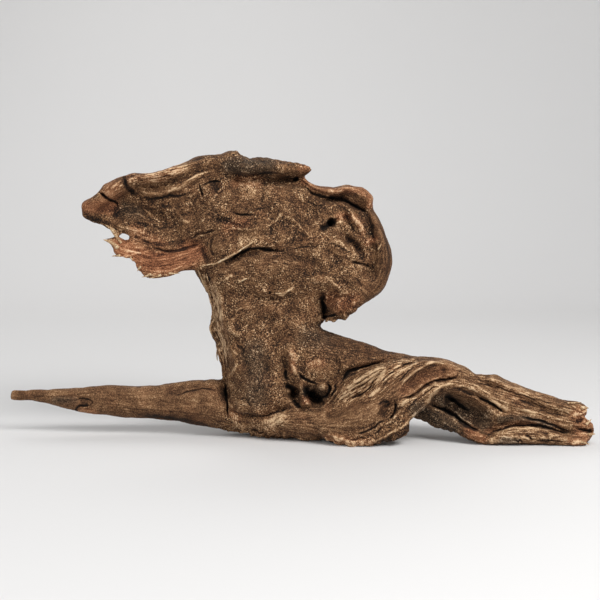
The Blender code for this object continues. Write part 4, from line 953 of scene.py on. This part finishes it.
def carvedWood():
    piece = bareSkin()
    mesh = piece.data
    points = readMesh(mesh, "co") / millimetre
    normals = readMesh(mesh, "normal")
    count = len(points)
    print("skin of", count, "points")
    places, sight = placesOf(points)
    shift = nudged(places)
    points[:, [0, 2]] += shift
    places += shift
    facing = -np.sum(normals * sight, axis=1)
    stray = unevenPlaces(points, wood["wobbleSize"], 3)
    stray += 0.5 * unevenPlaces(points, wood["jitterSize"], 5)
    wobbled = places + wood["wobble"] * stray
    fromBehind = points[:, [0, 2]]
    front = np.clip(facing * wood["turningAway"], 0, 1)
    away = np.clip(-facing * wood["turningAway"], 0, 1)
    behind = np.clip(normals[:, 1] * wood["turningAway"], 0, 1)
    inFront = facing > 0
    smoothBack = np.maximum(covered(fromBehind, smoothPlaces) * 0.85, wood["backSmooth"] * away)
    smoothness = np.where(inFront, covered(places, smoothPlaces), smoothBack)
    ragged = covered(places, raggedPlaces)
    drawnFront = drawn(wobbled, frontLines)
    drawnBack = drawn(fromBehind + wood["wobble"] * stray, backLines)
    print("lines drawn")

    directions = grainDirections(points, normals, places, facing, smoothness)
    steps = grainSteps(mesh, points, directions, wood["fibreStride"])
    rng = np.random.default_rng(7)
    specks = rng.normal(size=count)
    grit = 1 - smoothness
    fibres = combed(specks, steps, wood["fibreSteps"]) * (0.15 + 0.85 * smoothness)
    ridges = combed(unevenness(points, wood["ridgeSize"], 8), steps, wood["ridgeSteps"])
    print("grain combed")

    lumps = unevenness(points, wood["lumpSize"], 10)
    crumbs = unevenness(points, wood["crumbSize"], 11)
    swell = unevenness(points, wood["swellSize"], 9)
    plain = covered(places, plainPlaces) * inFront
    streak = covered(places, streakPlaces) * inFront
    relief = lumps * weighed(wood["lumps"], grit, ragged)
    relief += crumbs * weighed(wood["crumbs"], grit, ragged)
    relief -= np.clip(crumbs - wood["pitLevel"], 0, 1) * wood["pitDepth"] * grit
    relief += ridges * weighed(wood["ridges"], grit) * (1 - 0.75 * plain) * (1 + streak)
    relief += fibres * wood["fibres"] * (1 - 0.6 * plain)
    relief *= np.where(inFront, 1, wood["backRelief"])
    relief += swell * weighed(wood["swell"], grit)
    uneven = 1 + wood["lineUnevenness"] * unevenness(points, 5, 12)
    moved = points + normals * relief[:, None]
    moved -= sight * (drawnFront[:, 0] * front * uneven)[:, None]
    moved[:, 1] += drawnBack[:, 0] * behind * uneven
    moved[:, 2] = np.maximum(moved[:, 2], 0)
    writePoints(mesh, moved)

    # the wood's own tone, with painted shade in cracks and painted highlight on edges
    tone = drawnFront[:, 1] * front + drawnBack[:, 1] * behind
    tone += painted(wobbled, tonePlaces) * inFront
    # light places break up along the fibres
    broken = np.clip(0.85 + 0.3 * fibres + 0.7 * lumps, 0.2, 1.6)
    backWarm = wood["backWarm"] * np.clip(unevenness(points, 30, 13) * 2, 0, 1)
    setAttributes(mesh, {
        "tone": np.where(tone > 0, tone * broken, tone),
        "warm": np.where(inFront, covered(wobbled, warmPlaces), backWarm),
        "grey": np.where(inFront, covered(wobbled, greyPlaces), wood["backGrey"]),
        "grit": grit,
        "plain": plain,
        "streak": streak,
        "ridge": ridges,
        "fibre": fibres,
        "grain": directions * (1 - 0.45 * grit)[:, None],
    })
    print("relief carved")
    thinned(piece)

    # what stands out and what lies deep, on a fine and a broad scale, for painted highlight on
    # ridges and painted shade in hollows
    mesh = piece.data
    edges = np.empty(len(mesh.edges) * 2, np.int32)
    mesh.edges.foreach_get("vertices", edges)
    edges = edges.reshape(-1, 2)
    points = readMesh(mesh, "co") / millimetre
    normals = readMesh(mesh, "normal")
    near = spread(points, edges, len(points), wood["crestSteps"])
    far = spread(near, edges, len(points), wood["humpSteps"])
    setAttributes(mesh, {
        "crest": np.sum((points - near) * normals, axis=1),
        "hump": np.sum((near - far) * normals, axis=1),
    })
    only(piece)
    bpy.ops.object.shade_smooth()
    return piece


class Channel:
    # one socket of a finish, used in sums as a number is
    def __init__(self, finish, socket):
        self.finish = finish
        self.socket = socket

    def maths(self, operation, *values):
        return self.finish.add("ShaderNodeMath", {"operation": operation}, dict(enumerate(values)))

    def __add__(self, other):
        return self.maths("ADD", self, other)

    __radd__ = __add__

    def __mul__(self, other):
        return self.maths("MULTIPLY", self, other)

    __rmul__ = __mul__

    def __sub__(self, other):
        return self.maths("SUBTRACT", self, other)

    def __rsub__(self, other):
        return self.maths("SUBTRACT", other, self)

    def between(self, low, high):
        # 0 below low, 1 above high
        return self.finish.add("ShaderNodeMapRange", {"interpolation_type": "SMOOTHSTEP"},
                               {"Value": self, "From Min": low, "From Max": high})


class Finish:
    # a material and its nodes
    def __init__(self, name):
        self.material = bpy.data.materials.new(name)
        self.material.use_nodes = True
        self.tree = self.material.node_tree
        self.tree.nodes.clear()

    def add(self, kind, settings=None, inputs=None, output=0):
        node = self.tree.nodes.new(kind)
        for name, value in (settings or {}).items():
            if name == "stops":
                self.setStops(node.color_ramp, value)
            else:
                setattr(node, name, value)
        for name, value in (inputs or {}).items():
            if isinstance(value, Channel):
                self.tree.links.new(value.socket, node.inputs[name])
            else:
                node.inputs[name].default_value = value
        return None if output is None else Channel(self, node.outputs[output])

    def setStops(self, ramp, stops):
        while len(ramp.elements) < len(stops):
            ramp.elements.new(1.0)
        for element, (place, colour) in zip(ramp.elements, stops):
            element.position = place
            element.color = (*colour, 1)

    def mix(self, share, first, second):
        first, second = ((*c, 1) if isinstance(c, tuple) else c for c in (first, second))
        return self.add("ShaderNodeMix", {"data_type": "RGBA"}, {0: share, 6: first, 7: second}, 2)

    def ramp(self, share, stops):
        return self.add("ShaderNodeValToRGB", {"stops": stops}, {"Fac": share}, "Color")

    def noise(self, place, scale, detail):
        inputs = {"Vector": place, "Scale": scale, "Detail": detail}
        return self.add("ShaderNodeTexNoise", inputs=inputs, output="Fac")

    def bump(self, strength, distance, height):
        inputs = {"Strength": strength, "Distance": distance, "Height": height}
        return self.add("ShaderNodeBump", inputs=inputs, output="Normal")

    def surface(self, inputs):
        shader = self.add("ShaderNodeBsdfPrincipled", inputs=inputs)
        self.add("ShaderNodeOutputMaterial", inputs={"Surface": shader}, output=None)

    def attribute(self, name, output="Fac"):
        return self.add("ShaderNodeAttribute", {"attribute_name": name}, output=output)

    def along(self, place, direction, distance):
        # the place this far away in a direction
        inputs = {0: direction, "Scale": distance}
        shift = self.add("ShaderNodeVectorMath", {"operation": "SCALE"}, inputs)
        return self.add("ShaderNodeVectorMath", {"operation": "ADD"}, {0: place, 1: shift})


woodFinish = {
    "stops": [
        (0.0, (0.006, 0.0033, 0.0018)),
        (0.22, (0.024, 0.0112, 0.0050)),
        (0.42, (0.079, 0.0358, 0.0156)),
        (0.58, (0.153, 0.0745, 0.0325)),
        (0.76, (0.290, 0.1634, 0.0792)),
        (1.0, (0.600, 0.4085, 0.2376)),
    ],
    "warmStops": [
        (0.0, (0.010, 0.0038, 0.0018)),
        (0.25, (0.060, 0.0199, 0.0088)),
        (0.5, (0.205, 0.076, 0.0326)),
        (0.75, (0.420, 0.1947, 0.0924)),
        (1.0, (0.700, 0.475, 0.2904)),
    ],
    "greyStops": [
        (0.0, (0.006, 0.0047, 0.0035)),
        (0.35, (0.032, 0.0210, 0.0122)),
        (0.65, (0.110, 0.0735, 0.0440)),
        (1.0, (0.400, 0.3182, 0.2288)),
    ],
    # how far up these ramps the wood is, and what lifts or lowers it there
    "light": {
        "base": 0.461,
        "grit": -0.02,
        "tone": 0.42,
        # painted highlight on ridges and painted shade in hollows, on a fine and a broad scale
        "crest": 0.30,
        "hump": 0.05,
        "ridge": 0.012,
        "fibre": 0.015,
        "fine": 0.42,
        "coarse": 0.10,
        "broad": 0.2,
        "mottle": (0.18, 0.26, 0.14),  # all over, and more on gritty and on plain wood
        "specks": (0.64, 0.92),  # all over, and more on rough wood
        "crumbs": (0.06, 0.26),
        "flecks": 0.4,
    },
    "density": {  # spots a metre
        "broad": 45.0,
        "hue": 70.0,
        "patches": 130.0,
        "mottle": 150.0,
        "fibres": 950.0,
        "grit": 1250.0,
    },
    "fibreStride": 0.0008,  # metres between the samples that are drawn out along the grain
    "fibreSamples": 3,  # on either side
    "fibreContrast": 1.6,
    "hueChange": 0.7,
    "patchLevels": (0.35, 0.65),
    "fleckLevels": (0.68, 0.76),
    "bump": {"strength": 0.8, "distance": 0.0007, "grain": 0.4, "specks": 0.8, "crumbs": 0.4},
    "roughness": (0.62, 0.9),
    "gloss": 0.22,
}


def drawnOut(finish, place, grain, density, stride):
    # fine noise averaged along the grain, so that its specks become fibres
    samples = woodFinish["fibreSamples"]
    total = finish.noise(finish.along(place, grain, -samples * stride), density, 0.0)
    for i in range(1 - samples, samples + 1):
        total += finish.noise(finish.along(place, grain, i * stride), density, 0.0)
    count = 2 * samples + 1
    return (total - 0.5 * count) * (woodFinish["fibreContrast"] / math.sqrt(count))


def weatheredFinish():
    finish = Finish("weatheredWood")
    place = finish.add("ShaderNodeTexCoord", output="Object")
    grain = finish.attribute("grain", "Vector")
    tone, warm, grey, grit, plain, streak, ridge, fibre, crest, hump = (
        finish.attribute(name) for name in
        ("tone", "warm", "grey", "grit", "plain", "streak", "ridge", "fibre", "crest", "hump"))
    light, density, stride = woodFinish["light"], woodFinish["density"], woodFinish["fibreStride"]
    fine = drawnOut(finish, place, grain, density["fibres"], stride)
    coarse = drawnOut(finish, place, grain, density["fibres"] * 0.5, stride * 2)
    streaky = (1 - 0.72 * grit) * (1 - 0.7 * plain) * (1 + 1.4 * streak)
    broad = finish.noise(place, density["broad"], 3.0)
    mottle = finish.noise(place, density["mottle"], 2.0)
    hue = finish.noise(place, density["hue"], 2.0)
    specks = finish.noise(place, density["grit"], 0.0)
    crumbs = finish.noise(place, density["grit"] * 0.45, 1.0)
    patchy = finish.noise(place, density["patches"], 1.0).between(*woodFinish["patchLevels"])
    rough = grit * (0.3 + 0.7 * patchy)
    flecks = finish.noise(place, density["grit"] * 0.6, 0.0).between(*woodFinish["fleckLevels"])
    # this lightness includes painted highlight on ridges and painted shade in cracks and hollows
    shade = (light["base"] + light["grit"] * grit + light["tone"] * tone
             + light["crest"] * crest + light["hump"] * hump
             + (light["ridge"] * ridge + light["fibre"] * fibre
                + light["fine"] * fine + light["coarse"] * coarse) * streaky
             + light["broad"] * (broad - 0.5)
             + weighed(light["mottle"], grit, plain) * (mottle - 0.5)
             + weighed(light["specks"], rough) * (specks - 0.5)
             + weighed(light["crumbs"], rough) * (crumbs - 0.5)
             + light["flecks"] * (flecks * rough))
    warm += (hue - 0.5) * woodFinish["hueChange"]
    colour = finish.ramp(shade, woodFinish["stops"])
    colour = finish.mix(grey, colour, finish.ramp(shade, woodFinish["greyStops"]))
    colour = finish.mix(warm, colour, finish.ramp(shade, woodFinish["warmStops"]))
    low, high = woodFinish["roughness"]
    roughness = high - (high - low) * shade.between(0.3, 0.9) * (1 - grit)
    bump = woodFinish["bump"]
    height = ((fine * bump["grain"] + coarse * bump["grain"]) * streaky
              + (specks - 0.5) * bump["specks"] + (crumbs - 0.5) * (bump["crumbs"] + grit))
    finish.surface({
        "Base Color": colour,
        "Roughness": roughness,
        "Normal": finish.bump(bump["strength"], bump["distance"], height),
        "Specular IOR Level": woodFinish["gloss"],
    })
    return finish.material


# Torn fibres that stand off the wood, from where they hold to their tip: (u, v, radius).
splinters = [
    [(-143, 153.5, 1.0), (-146.3, 157.5, 0.8), (-148.3, 161.8, 1.7), (-150, 164.3, 1.6),
     (-152.2, 165.6, 0.8), (-156, 168.4, 0.2)],
    [(-145.5, 149.5, 1.6), (-149.3, 152.6, 1.7), (-152, 154.6, 1.3), (-154.5, 155.5, 0.9),
     (-157.2, 156.3, 0.3)],
    [(-144, 143.6, 1.2), (-148, 143.4, 0.7), (-150.6, 143, 0.2)],
    [(-136, 143, 0.9), (-134.6, 140.6, 0.6), (-133.4, 138.8, 0.2)],
    [(-127.5, 135, 1.0), (-129, 132.8, 0.7), (-130.2, 131.2, 0.2)],
    [(-119, 128.6, 1.1), (-123, 127.2, 0.8), (-126.6, 126.2, 0.2)],
    [(-111, 128, 1.0), (-116, 126.4, 0.8), (-121, 125.4, 0.2)],
    [(-105, 129.5, 0.9), (-100, 129, 0.6), (-96, 129.6, 0.2)],
    [(-74, 115, 0.9), (-76.5, 121, 1.3), (-79, 126.5, 0.9), (-81.6, 131.8, 0.3)],
    [(-71.5, 111, 0.6), (-73.8, 117.5, 0.8), (-76.2, 123.5, 0.5), (-78, 128.5, 0.2)],
    [(-68.5, 93, 0.5), (-71.6, 87, 1.1), (-71.8, 83, 0.9), (-69.5, 78.5, 0.3)],
    [(-67.5, 106, 0.4), (-70, 99.5, 0.8), (-70.4, 93, 0.3)],
    [(-65, 73, 0.4), (-67.4, 66, 0.8), (-66, 59.5, 0.3)],
    [(-79, 135.3, 0.3), (-73.5, 136.4, 0.6), (-68, 136.8, 0.4), (-63, 139.4, 0.7),
     (-58.6, 141.3, 0.9), (-55, 143.9, 0.5), (-50.5, 145.7, 0.8), (-46, 149.3, 0.5),
     (-41.5, 151.6, 0.7), (-37.5, 154.6, 0.3)],
    [(62.5, 148.6, 0.6), (64, 150.6, 0.7), (65.2, 153, 0.2)],
    [(-49.5, 121.6, 0.4), (-45, 124.4, 0.5), (-40.5, 125.8, 0.2)],
    [(-20, 113.2, 0.5), (-15, 113, 0.7), (-9.5, 115, 0.7), (-4.5, 118.4, 0.3)],
    [(225, 21.5, 1.5), (228.6, 22.6, 1.1), (230.8, 21.4, 0.3)],
    [(229, 8.5, 1.2), (231.6, 10.8, 0.8), (233, 12.6, 0.2)],
    [(230.5, 0.2, 1.3), (234, 0.9, 0.9), (236.2, 0.8, 0.3)],
    [(225, -5.6, 1.1), (229.2, -6.4, 0.8), (231.6, -7.8, 0.2)],
    [(214, 25.5, 0.8), (220, 25.6, 0.7), (225, 26.2, 0.2)],
]

splinterShape = {
    "reach": 1.2,  # how near the wood is that a splinter takes its depth from
    "sunk": 0.2,  # the share of its radius by which it lies deeper
    "order": 3,
    "stepsPerPoint": 5,
    "roundness": 1,
}

splinterFinish = {
    "stops": [
        (0.0, (0.060, 0.026, 0.012)),
        (0.4, (0.300, 0.165, 0.080)),
        (0.7, (0.560, 0.400, 0.230)),
        (1.0, (0.780, 0.660, 0.480)),
    ],
    "base": 0.55,
    # spots a metre, their detail, and how much they lighten
    "spots": [(180.0, 2.0, 1.1), (1100.0, 1.0, 1.3)],
    "bump": (0.7, 0.0004),  # strength and depth
    "roughness": 0.75,
    "gloss": 0.25,
}


def seenAt(u, v, depth):
    # the point in the frame that the camera sees at this place, at this depth
    up = v - view["aimV"]
    reach = (view["eyeDistance"] + depth) / (view["eyeDistance"] + up * drop / sightLength)
    height = view["eyeHeight"] + reach * (up * view["eyeDistance"] / sightLength - drop)
    right, back = view["middle"]
    return np.array([u * reach - right, depth - back, height]) * millimetre


def tornFibres(skin):
    # round, tapered rods along each splinter, at the depth of the wood that they hold on to
    points = readMesh(skin.data, "co") / millimetre
    places, _ = placesOf(points)
    depths = points[:, 1] + view["middle"][1]
    rods = []
    for splinter in splinters:
        curve = bpy.data.curves.new("tornFibre", "CURVE")
        curve.dimensions = "3D"
        curve.bevel_depth = millimetre
        curve.bevel_resolution = splinterShape["roundness"]
        curve.resolution_u = splinterShape["stepsPerPoint"]
        curve.use_fill_caps = True
        spline = curve.splines.new("NURBS")
        spline.points.add(len(splinter) - 1)
        spline.use_endpoint_u = True
        spline.order_u = splinterShape["order"]
        depth = None
        for point, (u, v, radius) in zip(spline.points, splinter):
            near = np.linalg.norm(places - (u, v), axis=1) < splinterShape["reach"]
            if near.any():
                depth = depths[near].min()
            point.co = (*seenAt(u, v, depth - splinterShape["sunk"] * radius), 1)
            point.radius = radius
        rod = bpy.data.objects.new("tornFibre", curve)
        bpy.context.scene.collection.objects.link(rod)
        only(rod)
        bpy.ops.object.convert(target="MESH")
        rods.append(bpy.context.view_layer.objects.active)
    for rod in rods:
        rod.select_set(True)
    bpy.context.view_layer.objects.active = rods[0]
    bpy.ops.object.join()
    piece = rods[0]
    piece.name = piece.data.name = "tornFibres"
    bpy.ops.object.mode_set(mode="EDIT")
    bpy.ops.mesh.select_all(action="SELECT")
    bpy.ops.mesh.remove_doubles(threshold=samePlace)
    bpy.ops.mesh.normals_make_consistent(inside=False)
    bpy.ops.object.mode_set(mode="OBJECT")
    bpy.ops.object.shade_smooth()
    print("torn fibres of", len(trianglesOf(piece.data)), "triangles")
    return piece


def tornFinish():
    finish = Finish("tornFibres")
    place = finish.add("ShaderNodeTexCoord", output="Object")
    shade = splinterFinish["base"]
    for density, detail, lighter in splinterFinish["spots"]:
        spots = finish.noise(place, density, detail)
        shade += (spots - 0.5) * lighter
    finish.surface({
        "Base Color": finish.ramp(shade, splinterFinish["stops"]),
        "Roughness": splinterFinish["roughness"],
        "Normal": finish.bump(*splinterFinish["bump"], spots),  # the finest spots are bumps too
        "Specular IOR Level": splinterFinish["gloss"],
    })
    return finish.material


stage = {
    "colour": (0.66, 0.65, 0.64),
    "roughness": 0.9,
    "gloss": 0.2,
    "width": 6.0,
    "front": 3.0,  # how far the floor reaches in front of the wood
    "depth": 1.5,  # and behind it, where the backdrop starts to rise
    "bend": 0.6,
    "bendSteps": 16,
    "height": 3.0,
}


def paleStage():
    # a floor drawn up at its far edge into a backdrop, with a soft bend between them
    middle = (stage["depth"] - stage["front"]) / 2
    bpy.ops.mesh.primitive_plane_add(size=1, location=(0, middle, 0))
    backdrop = bpy.context.object
    backdrop.name = "backdrop"
    backdrop.scale = (stage["width"], stage["depth"] + stage["front"], 1)
    bpy.ops.object.transform_apply(location=True, scale=True)
    mesh = backdrop.data
    for corner in mesh.vertices:
        corner.select = corner.co.y > 0
    for edge in mesh.edges:
        edge.select = all(mesh.vertices[i].select for i in edge.vertices)
    mesh.polygons[0].select = False
    bpy.ops.object.mode_set(mode="EDIT")
    bpy.ops.mesh.select_mode(type="EDGE")
    bpy.ops.mesh.extrude_region_move(TRANSFORM_OT_translate={"value": (0, 0, stage["height"])})
    bpy.ops.object.mode_set(mode="OBJECT")
    apply(backdrop, "BEVEL", width=stage["bend"], segments=stage["bendSteps"])
    bpy.ops.object.shade_smooth()
    finish = Finish("paleStage")
    finish.surface({
        "Base Color": (*stage["colour"], 1),
        "Roughness": stage["roughness"],
        "Specular IOR Level": stage["gloss"],
    })
    mesh.materials.append(finish.material)


lights = {
    "lamps": {  # place, aim, size, watts
        "key": ((0.70, -0.95, 1.15), (0, 0, 0.09), 0.75, 24.0),
        "fill": ((-1.1, -1.4, 0.7), (0, 0, 0.1), 1.4, 10.0),
        "back": ((-0.4, 1.1, 1.2), (0, 0, 0.1), 0.9, 6.0),
    },
    "skyColour": (0.95, 0.97, 1.0),
    "sky": 0.46,
}


def studioLight():
    for name, (place, aim, size, watts) in lights["lamps"].items():
        lamp = bpy.data.lights.new(name, "AREA")
        lamp.energy = watts
        lamp.size = size
        obj = bpy.data.objects.new(name, lamp)
        obj.location = place
        obj.rotation_euler = (Vector(aim) - Vector(place)).to_track_quat("-Z", "Y").to_euler()
        bpy.context.scene.collection.objects.link(obj)
    world = bpy.data.worlds.new("softSky")
    world.use_nodes = True
    background = world.node_tree.nodes["Background"]
    background.inputs["Color"].default_value = (*lights["skyColour"], 1)
    background.inputs["Strength"].default_value = lights["sky"]
    bpy.context.scene.world = world


def camera():
    data = bpy.data.cameras.new("camera")
    obj = bpy.data.objects.new("camera", data)
    right, back = view["middle"]
    eye = (-right, -view["eyeDistance"] - back, view["eyeHeight"])
    obj.location = [value * millimetre for value in eye]
    obj.rotation_euler = (math.pi / 2 - math.atan2(drop, view["eyeDistance"]), 0, 0)
    data.sensor_width = view["sensorWidth"]
    data.lens = view["sensorWidth"] * sightLength / view["pictureWidth"]
    bpy.context.scene.collection.objects.link(obj)
    bpy.context.scene.camera = obj


driftwood = carvedWood()
driftwood.data.materials.append(weatheredFinish())
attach(driftwood, "root")
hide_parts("driftwood")
fibresStanding = tornFibres(driftwood)
fibresStanding.data.materials.append(tornFinish())
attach(fibresStanding, "root")
print("wood dressed")
paleStage()
studioLight()
camera()
bpy.context.scene.view_settings.view_transform = "Standard"
print("stage, light and camera set")
